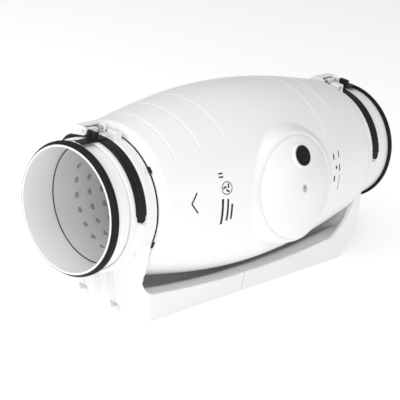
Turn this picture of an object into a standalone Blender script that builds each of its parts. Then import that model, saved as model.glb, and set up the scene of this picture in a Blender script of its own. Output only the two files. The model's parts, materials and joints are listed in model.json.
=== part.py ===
"""Inline duct fan for a bathroom extract run.

A rounded two-shell casing hangs between two spigots in a two-part base. A mixed-flow impeller
turns inside it, a round wiring box sits on the front, and two strap halves and an over-centre
latch hold the casing at each end. Units are metres. The duct runs along X and the air leaves at
-X, the wiring box faces -Y, and Z is up from the surface that the base stands on.
"""

from math import cos, pi, radians, sin, sqrt

import bmesh
import bpy
from mathutils import Matrix, Vector

# Clearance between touching pieces, and the facets of a full turn
GAP = 0.0003
RING_STEPS = 32
HUB_STEPS = 20
SMALL_STEPS = 16

# Duct axis and overall length
AXIS_Z = 0.1315
HALF_LENGTH = 0.2543
SPIGOT_OUTER = 0.0735
SPIGOT_INNER = 0.0710
SPIGOT_INNER_END = 0.1865

# Casing: a barrel whose radius follows a cosine between its two shoulders
CASING_MID_RADIUS = 0.1125
CASING_SHOULDER_RADIUS = 0.0885
CASING_COSINE_HALF = 0.190
CASING_END = 0.1879
CASING_SHOULDER = 0.1825
CASING_WALL = 0.003
CASING_MOUTH_RADIUS = 0.0745
CASING_SEAM_DEG = 103
CASING_JOINT_DEG = 0.09

# Yoke ring, strap and gasket places along the duct, measured from the middle
YOKE_START = 0.2260
YOKE_FLANGE = 0.2050
YOKE_END = 0.1910
YOKE_RADIUS = 0.0770
YOKE_FLANGE_RADIUS = 0.0797
YOKE_BORE = SPIGOT_OUTER + GAP
GASKET_SPAN = (0.2538, 0.2450)
GASKET_OUTER = 0.0770
SEAL_SPAN = (0.1907, 0.1882)
SEAL_RADII = (0.0760, 0.0801)
STRAP_SPAN = (0.2204, 0.2055)
STRAP_RADII = (0.0773, 0.0791)

# Base
BASE_SEAM_X = -0.008
BASE_HALF_WIDTH = 0.070
FOOT_BOTTOM_END = 0.180
FOOT_TOP_END = 0.205
FOOT_CORNERS = {"outlet": 0.020, "inlet": 0.010}
INLET_FOOT_BULGE = 0.0065
INLET_FOOT_BULGE_HEIGHT = 0.090
INLET_FOOT_TUCK = 0.0125
INLET_FOOT_TUCK_HEIGHT = 0.030
# Side opening: centre of its lower corner, radius, and the angle where its curve stops
OPENING_CORNERS = {
    "outlet": [(0.171, 0.0385), (0.178, 0.0420), (0.1845, 0.0480), (0.1876, 0.0570), (0.188, 0.074)],
    "inlet": [(0.156, 0.0364), (0.164, 0.0395), (0.171, 0.0455), (0.183, 0.0590), (0.188, 0.084)],
}
RAIL_HEIGHT = 0.0268
RAIL_SAG = 0.40
RAIL_PLACES = (0.030, 0.060, 0.090, 0.120, 0.148)
RAIL_INNER_Y = 0.045
RAIL_WALL_Y = 0.067
RAIL_TOP = 0.0250
TROUGH_ENDS = {"outlet": 0.172, "inlet": 0.190}
FLOOR = 0.004
NOTCH_STARTS = {"outlet": 0.168, "inlet": 0.193}
NOTCH_Y = (0.019, 0.035)
NOTCH_HEIGHT = 0.012
GROOVE_Y = (-0.025, 0.0, 0.025)
BASE_SCREW_Y = 0.0575
BASE_SCREW_Z = 0.008
WALL_SLOT_X = 0.120
WALL_SLOT_Y = 0.026

# Liner, insulation and fan unit
LINER_RADII = (0.0692, 0.0706)
LINER_SPAN = (0.209, 0.066)
FAN_HALF = 0.062
SHAFT_RADIUS = 0.003
BEARING_RADIUS = 0.009
BLADE_COUNT = 7
VANE_COUNT = 9
BLADE_ROWS = 4

# Round wiring box and its domed cover, on an axis that leans up from -Y
COVER_CENTRE = Vector((0.010, -0.1085, 0.0190))
COVER_TILT_DEG = 14.5
COVER_RADIUS = 0.0615
COVER_EDGE = 0.002
COVER_RISE = 0.015
COVER_WALL = 0.0025
BOX_RADIUS = 0.0612
BOX_DEPTH = 0.024
GLAND_OFFSET = 0.038
GLAND_SIDE = 0.002
GLAND_RADIUS = 0.0123

# Clamp: angles run from the front (0) over the top (90) to the back (180)
FRONT_STRAP_DEG = (5, 96)
BACK_STRAP_DEG = (98, 175)
CATCH_DEG = (87, 95)
CATCH_RADII = (0.0776, 0.0885)
CATCH_SPAN = (0.2275, 0.2217)
TAB_DEG = (86.6, 95.4)
TAB_RADII = (0.0775, 0.0796)
TAB_SPAN = (0.2447, 0.2070)
LATCH_SPAN = (0.2260, 0.1940)
LATCH_WALL = 0.003
LATCH_NOSE_RADIUS = 0.0048
LATCH_PIN_DEG = 100.6
LATCH_PIN_AT = 0.085
LATCH_PIN_RADIUS = 0.0015
CLIP_ANGLES = {"upper": 45, "lower": -18}

dome_radius = (COVER_RADIUS ** 2 + COVER_RISE ** 2) / (2 * COVER_RISE)
dome_depth = dome_radius - COVER_RISE - COVER_EDGE
cover_tilt = radians(COVER_TILT_DEG)
front_reach = -COVER_CENTRE.y - dome_depth * cos(cover_tilt) + dome_radius
AXIS_Y = (front_reach - CASING_MID_RADIUS) / 2

ENDS = {"outlet": -1, "inlet": 1}

WHITE = ((0.84, 0.84, 0.83), 0.38, 0.0)
WARM_WHITE = ((0.78, 0.77, 0.75), 0.50, 0.0)
BLACK_RUBBER = ((0.02, 0.02, 0.02), 0.70, 0.0)
BLACK_PLASTIC = ((0.03, 0.03, 0.03), 0.45, 0.0)
GREY_PLASTIC = ((0.35, 0.36, 0.37), 0.50, 0.0)
STEEL = ((0.62, 0.62, 0.63), 0.30, 1.0)
FOAM = ((0.16, 0.16, 0.17), 0.95, 0.0)
TERMINAL_GREEN = ((0.10, 0.30, 0.16), 0.50, 0.0)


def clear_scene():
    for old in list(bpy.data.objects):
        bpy.data.objects.remove(old)


clear_scene()
parts = bpy.data.collections.new("inline_duct_fan")
cutters = bpy.data.collections.new("cutters")
bpy.context.scene.collection.children.link(parts)
bpy.context.scene.collection.children.link(cutters)


def frame_at(name, location, rotation=None, parent=None):
    """An empty that holds a group of pieces, or stands on a joint's axis."""
    empty = bpy.data.objects.new(name, None)
    empty.location = location
    if rotation:
        empty.rotation_euler = rotation
    empty.parent = parent
    parts.objects.link(empty)
    return empty


floor_frame = frame_at("floor_frame", (0, AXIS_Y, 0))
fan_axis = frame_at("fan_axis", (0, 0, AXIS_Z), parent=floor_frame)
cover_axis = frame_at(
    "cover_axis",
    COVER_CENTRE,
    rotation=Matrix(
        (
            (0, 1, 0),
            (-cos(cover_tilt), 0, sin(cover_tilt)),
            (sin(cover_tilt), 0, cos(cover_tilt)),
        )
    ).to_euler(),
    parent=fan_axis,
)


def material(name, look):
    colour, roughness, metallic = look
    made = bpy.data.materials.new(name)
    made.use_nodes = True
    shader = made.node_tree.nodes["Principled BSDF"]
    shader.inputs["Base Color"].default_value = (*colour, 1)
    shader.inputs["Roughness"].default_value = roughness
    shader.inputs["Metallic"].default_value = metallic
    return made


def finish(name, bm, look, parent):
    """Close the mesh, turn its faces out and make the piece, or a cutter where look is None."""
    bmesh.ops.remove_doubles(bm, verts=bm.verts, dist=1e-6)
    bmesh.ops.holes_fill(bm, edges=bm.edges, sides=0)
    bmesh.ops.recalc_face_normals(bm, faces=bm.faces)
    mesh = bpy.data.meshes.new(name)
    bm.to_mesh(mesh)
    bm.free()
    piece = bpy.data.objects.new(name, mesh)
    piece.parent = parent
    if look:
        mesh.materials.append(material(name + "_finish", look))
        mesh.shade_smooth()
        mesh.set_sharp_from_angle(angle=radians(35))
        parts.objects.link(piece)
    else:
        piece.hide_render = True
        piece.display_type = "WIRE"
        cutters.objects.link(piece)
    return piece


def turned(name, profile, look, parent, closed=True, start=0, sweep=360, steps=RING_STEPS):
    """Turn (x, radius) points about the parent's X axis, from the angle start."""
    bm = bmesh.new()
    angle = radians(start)
    verts = [bm.verts.new((x, -r * cos(angle), r * sin(angle))) for x, r in profile]
    edges = [bm.edges.new(pair) for pair in zip(verts, verts[1:])]
    if closed:
        edges.append(bm.edges.new((verts[-1], verts[0])))
    bmesh.ops.spin(
        bm,
        geom=verts + edges,
        cent=(0, 0, 0),
        axis=(-1, 0, 0),
        angle=radians(sweep),
        steps=steps,
        use_merge=sweep == 360,
    )
    return finish(name, bm, look, parent)


def prism(name, outline, place, low, high, look, parent):
    """Extrude a flat outline from low to high; place turns (a, b, depth) into a point."""
    bm = bmesh.new()
    face = bm.faces.new([bm.verts.new(place(a, b, low)) for a, b in outline])
    copied = bmesh.ops.extrude_face_region(bm, geom=[face], use_keep_orig=True)["geom"]
    top = [item for item in copied if isinstance(item, bmesh.types.BMVert)]
    shift = Vector(place(0, 0, high)) - Vector(place(0, 0, low))
    bmesh.ops.translate(bm, verts=top, vec=shift)
    return finish(name, bm, look, parent)


def along_x(a, b, depth):
    return (depth, a, b)


def along_y(a, b, depth):
    return (a, depth, b)


def box(name, low, high, look, parent):
    bm = bmesh.new()
    size = [b - a for a, b in zip(low, high)]
    middle = [(a + b) / 2 for a, b in zip(low, high)]
    bmesh.ops.create_cube(bm, size=1, matrix=Matrix.LocRotScale(middle, None, size))
    return finish(name, bm, look, parent)


def rod(name, start, end, radius, look, parent, steps=SMALL_STEPS):
    """A round bar between two points."""
    start, end = Vector(start), Vector(end)
    along = end - start
    turn = Vector((0, 0, 1)).rotation_difference(along)
    bm = bmesh.new()
    bmesh.ops.create_cone(
        bm,
        cap_ends=True,
        segments=steps,
        radius1=radius,
        radius2=radius,
        depth=along.length,
        matrix=Matrix.LocRotScale((start + end) / 2, turn, None),
    )
    return finish(name, bm, look, parent)


def loft(name, sections, look, parent):
    """Skin rings of equal point counts, from the first to the last, and cap both ends."""
    bm = bmesh.new()
    rings = [[bm.verts.new(point) for point in section] for section in sections]
    for lower, upper in zip(rings, rings[1:]):
        for i in range(len(lower)):
            j = (i + 1) % len(lower)
            bm.faces.new((lower[i], lower[j], upper[j], upper[i]))
    bm.faces.new(rings[0])
    bm.faces.new(rings[-1])
    return finish(name, bm, look, parent)


def combine(target, tool, operation):
    step = target.modifiers.new(tool.name, "BOOLEAN")
    step.operation = operation
    step.object = tool
    step.solver = "EXACT"


def cut(target, tool):
    combine(target, tool, "DIFFERENCE")


def add(target, tool):
    combine(target, tool, "UNION")


def arc(centre, radius, start, end, steps):
    """Points on an arc, angles in degrees from +a towards +b."""
    turns = [radians(start + (end - start) * i / steps) for i in range(steps + 1)]
    return [(centre[0] + radius * cos(t), centre[1] + radius * sin(t)) for t in turns]


def on_ring(x, radius, degrees):
    """A point on the duct's rings: 0 is the front, 90 the top."""
    angle = radians(degrees)
    return Vector((x, -radius * cos(angle), radius * sin(angle)))


def casing_radius(x):
    swell = CASING_MID_RADIUS - CASING_SHOULDER_RADIUS
    return CASING_SHOULDER_RADIUS + swell * cos(pi * x / (2 * CASING_COSINE_HALF))


# ---------------------------------------------------------------- base


def foot_end(end, z):
    """How far a foot's end face stands from the middle at a height: the inlet's is fuller."""
    if end == "outlet":
        lean = FOOT_TOP_END - FOOT_BOTTOM_END
        return FOOT_TOP_END - lean * (1 - z / AXIS_Z) ** 2.2
    bulge = INLET_FOOT_BULGE * sin(pi * min(z / INLET_FOOT_BULGE_HEIGHT, 1))
    tuck = INLET_FOOT_TUCK * max(0, 1 - z / INLET_FOOT_TUCK_HEIGHT) ** 2
    return FOOT_TOP_END + bulge - tuck


def rail_lift(x):
    """The rails sag: how much higher they stand at a distance from the middle."""
    return RAIL_SAG * x * x


def half_width(z):
    return BASE_HALF_WIDTH + (YOKE_FLANGE_RADIUS - BASE_HALF_WIDTH) * z / AXIS_Z


def base_plan(end, side, z):
    """The base half's outline at a height: square at the seam, round at the foot's corners."""
    seam = BASE_SEAM_X + side * GAP / 2
    width = half_width(z)
    radius = FOOT_CORNERS[end]
    corner_x = foot_end(end, z) - radius
    corner_y = width - radius
    front = arc((corner_x, -corner_y), radius, -90, 0, 5)
    back = arc((corner_x, corner_y), radius, 0, 90, 5)
    curve = [(side * x, y, z) for x, y in front + back]
    return [(seam, -width, z)] + curve + [(seam, width, z)]


def trough_section(x):
    """The hollow between the rails and over their tops, at one place along the base."""
    top = RAIL_TOP + rail_lift(x)
    front = [
        (-RAIL_WALL_Y, 0.070),
        (-RAIL_WALL_Y, top),
        (-RAIL_INNER_Y - 0.005, top),
        (-RAIL_INNER_Y, top - 0.005),
        (-RAIL_INNER_Y, FLOOR),
    ]
    back = [(-y, z) for y, z in reversed(front)]
    return [(x, y, z) for y, z in front + back]


def base_half(end, side):
    heights = [0, 0.006, 0.016, 0.030, 0.046, 0.064, 0.086, 0.110, AXIS_Z]
    half = loft(f"{end}_base_half", [base_plan(end, side, z) for z in heights], WHITE, floor_frame)

    disc_profile = [
        (side * YOKE_START, 0),
        (side * YOKE_START, YOKE_RADIUS),
        (side * YOKE_FLANGE, YOKE_RADIUS),
        (side * YOKE_FLANGE, YOKE_FLANGE_RADIUS),
        (side * (YOKE_END - 0.009), YOKE_FLANGE_RADIUS),
        (side * (YOKE_END - 0.009), 0),
    ]
    # The discs' facets are turned off the bore's, so that no edges coincide where it cuts them.
    disc = turned(f"{end}_yoke_disc", disc_profile, None, fan_axis, closed=False, start=5)
    add(half, disc)
    lug_x = sorted((side * (YOKE_FLANGE - 0.0015), side * (YOKE_END + 0.002)))
    low = (lug_x[0], -0.0135, 0.078)
    high = (lug_x[1], 0.0005, 0.0885)
    add(half, box(f"{end}_yoke_lug", low, high, None, fan_axis))

    past_seam = BASE_SEAM_X - side * 0.012
    inner_line = [
        (past_seam, RAIL_HEIGHT),
        *[(side * x, RAIL_HEIGHT + rail_lift(x)) for x in RAIL_PLACES],
        *[(side * x, z) for x, z in OPENING_CORNERS[end]],
        (side * YOKE_END, 0.094),
        (side * YOKE_END, 0.300),
        (past_seam, 0.300),
    ]
    cut(half, prism(f"{end}_side_opening", inner_line, along_y, -0.095, 0.095, None, floor_frame))

    clearance_start = side * (YOKE_END + 0.0002)
    clearance = [
        (clearance_start, 0),
        (clearance_start, 0.0850),
        (side * 0.1860, 0.0915),
        (side * 0.1500, 0.1010),
        (side * 0.1500, 0),
    ]
    cut(half, turned(f"{end}_clearance", clearance, None, fan_axis, closed=False, start=3))
    bore = (side * 0.232, 0, 0), (side * 0.185, 0, 0)
    cut(half, rod(f"{end}_yoke_bore", *bore, YOKE_BORE, None, fan_axis, steps=RING_STEPS))

    trough_places = [past_seam] + [side * x for x in RAIL_PLACES] + [side * TROUGH_ENDS[end]]
    trough = [trough_section(x) for x in trough_places]
    cut(half, loft(f"{end}_trough", trough, None, floor_frame))

    for row in (-1, 1):
        cavity_x = sorted((BASE_SEAM_X + side * 0.012, side * 0.158))
        cavity_y = sorted((row * 0.049, row * 0.0665))
        low = (cavity_x[0], cavity_y[0], -0.001)
        high = (cavity_x[1], cavity_y[1], 0.015)
        cut(half, box(f"{end}_rail_cavity_{row}", low, high, None, floor_frame))
        notch_y = sorted(row * y for y in NOTCH_Y)
        notch_x = sorted((side * NOTCH_STARTS[end], side * 0.212))
        low = (notch_x[0], notch_y[0], -0.001)
        high = (notch_x[1], notch_y[1], NOTCH_HEIGHT)
        cut(half, box(f"{end}_notch_{row}", low, high, None, floor_frame))
        start = (BASE_SEAM_X - side * 0.002, row * BASE_SCREW_Y, BASE_SCREW_Z)
        stop = (BASE_SEAM_X + side * 0.014, row * BASE_SCREW_Y, BASE_SCREW_Z)
        cut(half, rod(f"{end}_screw_hole_{row}", start, stop, 0.0022, None, floor_frame, 12))
        slot_x = side * WALL_SLOT_X
        slot_y = row * WALL_SLOT_Y
        low = (slot_x - 0.010, slot_y - 0.003, -0.001)
        high = (slot_x + 0.010, slot_y + 0.003, FLOOR + 0.001)
        cut(half, box(f"{end}_wall_slot_{row}", low, high, None, floor_frame))

    for number, y in enumerate(GROOVE_Y):
        low = (side * (foot_end(end, 0.016) + 0.0020), y, 0.016)
        high = (side * (foot_end(end, 0.052) + 0.0020), y, 0.052)
        cut(half, rod(f"{end}_foot_groove_{number}", low, high, 0.0050, None, floor_frame, 12))
    return half


for end, side in ENDS.items():
    base_half(end, side)

for place, row in {"front": -1, "back": 1}.items():
    tip, under_head, neck, top = [
        (BASE_SEAM_X + x, row * BASE_SCREW_Y, BASE_SCREW_Z)
        for x in (-0.0123, 0.0123, 0.0135, 0.0153)
    ]
    screw = rod(f"base_{place}_screw", tip, neck, 0.0019, STEEL, floor_frame, 12)
    add(screw, rod(f"base_{place}_screw_head", under_head, top, 0.0036, None, floor_frame, 12))


# ---------------------------------------------------------------- duct ends


def ring(name, near, far, inner, outer, look, parent=fan_axis, steps=RING_STEPS):
    """A plain tube between two places along X."""
    profile = [(near, inner), (near, outer), (far, outer), (far, inner)]
    return turned(name, profile, look, parent, steps=steps)


for end, side in ENDS.items():
    ring(
        f"{end}_spigot",
        side * HALF_LENGTH,
        side * SPIGOT_INNER_END,
        SPIGOT_INNER,
        SPIGOT_OUTER,
        WHITE,
    )
    gasket_near, gasket_far = GASKET_SPAN
    gasket_inner = SPIGOT_OUTER + GAP
    gasket_profile = [
        (side * gasket_near, gasket_inner),
        (side * gasket_near, gasket_inner + 0.0004),
        (side * (gasket_near - 0.0046), GASKET_OUTER),
        (side * gasket_far, GASKET_OUTER),
        (side * gasket_far, gasket_inner),
    ]
    turned(f"{end}_mouth_gasket", gasket_profile, BLACK_RUBBER, fan_axis, steps=RING_STEPS)
    seal_x = [side * x for x in SEAL_SPAN]
    ring(f"{end}_casing_seal", *seal_x, *SEAL_RADII, BLACK_RUBBER)
    for place, angle in CLIP_ANGLES.items():
        clip_profile = [
            (side * SEAL_SPAN[0], SEAL_RADII[1] + GAP),
            (side * SEAL_SPAN[0], SEAL_RADII[1] + 0.0025),
            (side * SEAL_SPAN[1], SEAL_RADII[1] + 0.0025),
            (side * SEAL_SPAN[1], SEAL_RADII[1] + GAP),
        ]
        turned(
            f"{end}_{place}_clip",
            clip_profile,
            BLACK_PLASTIC,
            fan_axis,
            start=angle - 2.6,
            sweep=5.2,
            steps=2,
        )


# ---------------------------------------------------------------- casing, liners, insulation


def casing_profile():
    """The wall's closed section: barrel, rounded shoulders, end walls and inner face."""
    end_outer = [
        (CASING_END, CASING_MOUTH_RADIUS),
        (CASING_END, 0.0815),
        (0.1866, 0.0852),
        (CASING_SHOULDER, casing_radius(CASING_SHOULDER)),
    ]
    outer_x = (0.150, 0.112, 0.074, 0.036, 0.0)
    outer = end_outer + [(x, casing_radius(x)) for x in outer_x]
    inner_x = (0.1815, 0.130, 0.080, 0.036, 0.0)
    end_inner = [
        (CASING_END - CASING_WALL, CASING_MOUTH_RADIUS),
        (CASING_END - CASING_WALL, 0.0840),
    ]
    inner = end_inner + [(x, casing_radius(x) - CASING_WALL) for x in inner_x]
    mirrored_outer = [(-x, r) for x, r in outer]
    mirrored_inner = [(-x, r) for x, r in inner]
    return mirrored_outer + outer[-2::-1] + inner + mirrored_inner[-2::-1]


for half, start in {"front": CASING_SEAM_DEG - 180, "back": CASING_SEAM_DEG}.items():
    shell = turned(
        f"casing_{half}_shell",
        casing_profile(),
        WHITE,
        fan_axis,
        start=start + CASING_JOINT_DEG,
        sweep=180 - 2 * CASING_JOINT_DEG,
        steps=RING_STEPS // 2,
    )
    if half == "front":
        opening_ends = (-0.045, 0, 0), (0.045, 0, 0)
        opening_radius = BOX_RADIUS + 2 * GAP
        box_opening = rod("box_opening", *opening_ends, opening_radius, None, cover_axis, RING_STEPS)
        cut(shell, box_opening)

for end, side in ENDS.items():
    ring(
        f"{end}_perforated_liner",
        side * LINER_SPAN[0],
        side * LINER_SPAN[1],
        *LINER_RADII,
        WARM_WHITE,
    )
    stations = (0.076, 0.112, 0.150, 0.181)
    quilt = [(side * x, casing_radius(x) - 0.0042) for x in stations]
    quilt.append((side * 0.1842, 0.0820))
    quilt.append((side * 0.1842, SPIGOT_OUTER + 3 * GAP))
    quilt.append((side * (SPIGOT_INNER_END - 0.003), SPIGOT_OUTER + 3 * GAP))
    quilt.append((side * (SPIGOT_INNER_END - 0.003), LINER_RADII[1] + GAP))
    quilt.append((side * stations[0], LINER_RADII[1] + GAP))
    turned(f"{end}_sound_insulation", quilt, FOAM, fan_axis)


# ---------------------------------------------------------------- fan unit


def housing_inner(x):
    """Inner radius of the cone round the impeller."""
    if x < 0.020:
        return 0.0800 - 0.006 * x / 0.020
    return 0.0740 - 0.0135 * (x - 0.020) / 0.018


def fan_blade(name, span, count, number, root, tip, turn_deg, thickness):
    """A twisted blade from root(x) to tip(x), as a grid that Solidify thickens."""
    bm = bmesh.new()
    rows = []
    for i in range(BLADE_ROWS):
        share = i / (BLADE_ROWS - 1)
        x = span[0] + (span[1] - span[0]) * share
        angle = 360 * number / count + turn_deg * share
        radii = [root(x) + (tip(x) - root(x)) * j / 2 for j in range(3)]
        rows.append([bm.verts.new(on_ring(x, r, angle)) for r in radii])
    for first, second in zip(rows, rows[1:]):
        for j in range(2):
            bm.faces.new((first[j], first[j + 1], second[j + 1], second[j]))
    mesh = bpy.data.meshes.new(name)
    bm.to_mesh(mesh)
    bm.free()
    blade = bpy.data.objects.new(name, mesh)
    blade.parent = fan_axis
    blade.hide_render = True
    blade.display_type = "WIRE"
    cutters.objects.link(blade)
    skin = blade.modifiers.new("thickness", "SOLIDIFY")
    skin.thickness = thickness
    skin.offset = 0
    return blade


def hub_radius(x):
    return 0.0545 - 0.034 * ((x - 0.006) / 0.030) ** 1.6 if x > 0.006 else 0.0545


def vane_hub_radius(x):
    return 0.0540 + 0.008 * (x + 0.004) / 0.054


def vane_ring_radius(x):
    return 0.0800 + 0.0105 * (x + 0.002) / 0.060


impeller_profile = [
    (0.0355, SHAFT_RADIUS + GAP),
    (0.0355, 0.0100),
    (0.0340, 0.0230),
    (0.0280, 0.0370),
    (0.0180, 0.0480),
    (0.0060, 0.0545),
    (0.0060, 0.0520),
    (0.0170, 0.0455),
    (0.0265, 0.0350),
    (0.0310, 0.0220),
    (0.0325, 0.0080),
    (0.0095, 0.0080),
    (0.0095, SHAFT_RADIUS + GAP),
]
impeller = turned("impeller", impeller_profile, GREY_PLASTIC, fan_axis, steps=HUB_STEPS)
for number in range(BLADE_COUNT):
    blade = fan_blade(
        f"impeller_blade_{number}",
        (0.0085, 0.0335),
        BLADE_COUNT,
        number,
        lambda x: hub_radius(x) - 0.0030,
        lambda x: housing_inner(x) - 0.0030,
        42,
        0.0018,
    )
    add(impeller, blade)

guide_profile = [
    (-0.0040, 0.0540),
    (-0.0580, 0.0460),
    (-0.0580, 0.0435),
    (-0.0330, 0.0447),
    (-0.0330, 0.0120),
    (-0.0420, 0.0120),
    (-0.0420, BEARING_RADIUS + GAP),
    (0.0040, BEARING_RADIUS + GAP),
    (0.0040, 0.0120),
    (-0.0300, 0.0120),
    (-0.0300, 0.0449),
    (-0.0040, 0.0515),
]
guide_vanes = turned("guide_vane_unit", guide_profile, WARM_WHITE, fan_axis, steps=HUB_STEPS)
for number in range(VANE_COUNT):
    vane = fan_blade(
        f"guide_vane_{number}",
        (-0.010, -0.050),
        VANE_COUNT,
        number,
        lambda x: vane_hub_radius(x) - 0.0022,
        lambda x: vane_ring_radius(x) + 0.0012,
        24,
        0.0020,
    )
    add(guide_vanes, vane)
vane_ring = [
    (-FAN_HALF, 0.0695),
    (-0.0020, 0.0800),
    (-0.0020, 0.0840),
    (-0.0060, 0.0840),
    (-0.0080, 0.0815),
    (-FAN_HALF, 0.0720),
]
add(guide_vanes, turned("guide_vane_ring", vane_ring, None, fan_axis))

housing_profile = [
    (-0.0017, 0.0800),
    (0.0200, 0.0740),
    (0.0380, 0.0605),
    (0.0380, 0.0700),
    (0.0350, 0.0700),
    (0.0350, 0.0655),
    (0.0215, 0.0765),
    (0.0030, 0.0815),
    (0.0030, 0.0840),
    (-0.0017, 0.0840),
]
turned("impeller_housing", housing_profile, WARM_WHITE, fan_axis)
nozzle_profile = [
    (0.0383, 0.0605),
    (0.0440, 0.0608),
    (0.0520, 0.0630),
    (0.0590, 0.0672),
    (FAN_HALF, 0.0700),
    (FAN_HALF, 0.0760),
    (0.0600, 0.0760),
    (0.0575, 0.0695),
    (0.0500, 0.0655),
    (0.0415, 0.0635),
    (0.0415, 0.0700),
    (0.0383, 0.0700),
]
turned("inlet_nozzle", nozzle_profile, WARM_WHITE, fan_axis)
for end, side in ENDS.items():
    mount_x = [side * (FAN_HALF + GAP), side * (LINER_SPAN[1] - GAP)]
    ring(f"{end}_rubber_mount", *mount_x, 0.0700, 0.0760, BLACK_RUBBER, steps=HUB_STEPS)

tail_profile = [
    (-0.0720, 0.0),
    (-0.0702, 0.0230),
    (-0.0645, 0.0370),
    (-0.0583, 0.0430),
    (-0.0583, 0.0457),
    (-0.0660, 0.0385),
    (-0.0720, 0.0240),
    (-0.0740, 0.0),
]
turned("tail_cone", tail_profile, WARM_WHITE, fan_axis, closed=False, steps=HUB_STEPS)

ring("motor_stator", -0.0260, 0.0010, 0.0123, 0.0305, STEEL, steps=HUB_STEPS)
rotor_profile = [
    (0.0047, SHAFT_RADIUS + GAP),
    (0.0047, 0.0330),
    (-0.0265, 0.0330),
    (-0.0265, 0.0370),
    (0.0090, 0.0370),
    (0.0090, SHAFT_RADIUS + GAP),
]
turned("motor_rotor", rotor_profile, BLACK_PLASTIC, fan_axis, steps=HUB_STEPS)
rod("motor_shaft", (-0.0440, 0, 0), (0.0370, 0, 0), SHAFT_RADIUS, STEEL, fan_axis)
for place, x in {"back": -0.0380, "front": 0.0}.items():
    bearing = (x - 0.0030, x + 0.0030, SHAFT_RADIUS + GAP, BEARING_RADIUS)
    ring(f"{place}_bearing", *bearing, STEEL, steps=HUB_STEPS)


# ---------------------------------------------------------------- wiring box

COVER_SCREW_HOLE = 0.0018
COVER_SCREW_CLEAR = 0.0022
RECESS_RADIUS = 0.0046
RECESS_FLOOR = 0.0135
POST_TOP = 0.0111
box_profile = [
    (-BOX_DEPTH, COVER_SCREW_HOLE),
    (-BOX_DEPTH, BOX_RADIUS),
    (-0.0018, BOX_RADIUS),
    (-0.0018, BOX_RADIUS - 0.0025),
    (-BOX_DEPTH + 0.0025, BOX_RADIUS - 0.0025),
    (-BOX_DEPTH + 0.0025, 0.0050),
    (POST_TOP, 0.0050),
    (POST_TOP, COVER_SCREW_HOLE),
]
wiring_box = turned("wiring_box", box_profile, WHITE, cover_axis)
lead_hole_ends = (-BOX_DEPTH - 0.002, 0.030, -0.030), (-BOX_DEPTH + 0.005, 0.030, -0.030)
cut(wiring_box, rod("lead_hole", *lead_hole_ends, 0.0028, None, cover_axis))
ring("cover_seal", -0.0015, -GAP, BOX_RADIUS - 0.0023, BOX_RADIUS, BLACK_RUBBER, cover_axis)


def dome_height(rho, inset=0.0):
    """Height of the cover's dome above its edge plane at a distance from its centre."""
    return sqrt((dome_radius - inset) ** 2 - rho ** 2) - dome_depth


rhos = [COVER_RADIUS * share for share in (1.0, 0.80, 0.58, 0.32)]
inner_rhos = [0.0180, 0.0360, 0.0500, 0.0580]
cover_profile = [(0, COVER_RADIUS)]
cover_profile += [(dome_height(rho), rho) for rho in rhos]
cover_profile += [
    (dome_height(RECESS_RADIUS), RECESS_RADIUS),
    (RECESS_FLOOR, RECESS_RADIUS),
    (RECESS_FLOOR, COVER_SCREW_CLEAR),
    (RECESS_FLOOR - 0.0020, COVER_SCREW_CLEAR),
    (RECESS_FLOOR - 0.0020, RECESS_RADIUS + 0.0020),
    (dome_height(RECESS_RADIUS + 0.0020, COVER_WALL), RECESS_RADIUS + 0.0020),
]
cover_profile += [(dome_height(rho, COVER_WALL), rho) for rho in inner_rhos]
cover_profile += [(0, COVER_RADIUS - COVER_WALL)]
cover = turned("wiring_cover", cover_profile, WHITE, cover_axis)

gland_rho = sqrt(GLAND_OFFSET ** 2 + GLAND_SIDE ** 2)
gland_seat = Vector((dome_height(gland_rho), GLAND_SIDE, GLAND_OFFSET))
gland_out = (gland_seat + Vector((dome_depth, 0, 0))).normalized()
gland_axis = frame_at(
    "gland_axis",
    gland_seat,
    rotation=Vector((1, 0, 0)).rotation_difference(gland_out).to_euler(),
    parent=cover_axis,
)
gland_neck = GLAND_RADIUS - 0.0013
gland_hole_ends = (-0.012, 0, 0), (0.012, 0, 0)
gland_hole = rod("gland_hole", *gland_hole_ends, gland_neck + GAP, None, gland_axis, 24)
cut(cover, gland_hole)
gland_profile = [
    (-0.0055, 0),
    (-0.0055, gland_neck - 0.0010),
    (-0.0045, gland_neck),
    (0.0010, gland_neck),
    (0.0010, GLAND_RADIUS),
    (0.0022, GLAND_RADIUS - 0.0004),
    (0.0032, 0.0080),
    (0.0036, 0),
]
turned("cable_gland", gland_profile, BLACK_RUBBER, gland_axis, closed=False, steps=24)

head_seat = RECESS_FLOOR + GAP
cover_screw_profile = [
    (-0.0150, 0),
    (-0.0150, 0.0014),
    (head_seat, 0.0014),
    (head_seat, 0.0034),
    (head_seat + 0.0010, 0.0034),
    (head_seat + 0.0018, 0.0022),
    (head_seat + 0.0018, 0),
]
turned("cover_screw", cover_screw_profile, STEEL, cover_axis, closed=False, steps=SMALL_STEPS)

box_floor = -BOX_DEPTH + 0.0025 + GAP
terminal_low = (box_floor, -0.024, -0.040)
terminal_high = (box_floor + 0.013, 0.022, -0.020)
terminal_block = box("terminal_block", terminal_low, terminal_high, TERMINAL_GREEN, cover_axis)
for number in range(4):
    y = -0.0185 + 0.0117 * number
    well_ends = (box_floor + 0.008, y, -0.030), (box_floor + 0.014, y, -0.030)
    well = rod(f"terminal_well_{number}", *well_ends, 0.0030, None, cover_axis, 12)
    cut(terminal_block, well)
capacitor_ends = (box_floor + 0.0082, -0.019, 0.026), (box_floor + 0.0082, 0.019, 0.026)
rod("run_capacitor", *capacitor_ends, 0.0080, BLACK_PLASTIC, cover_axis, 20)


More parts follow.
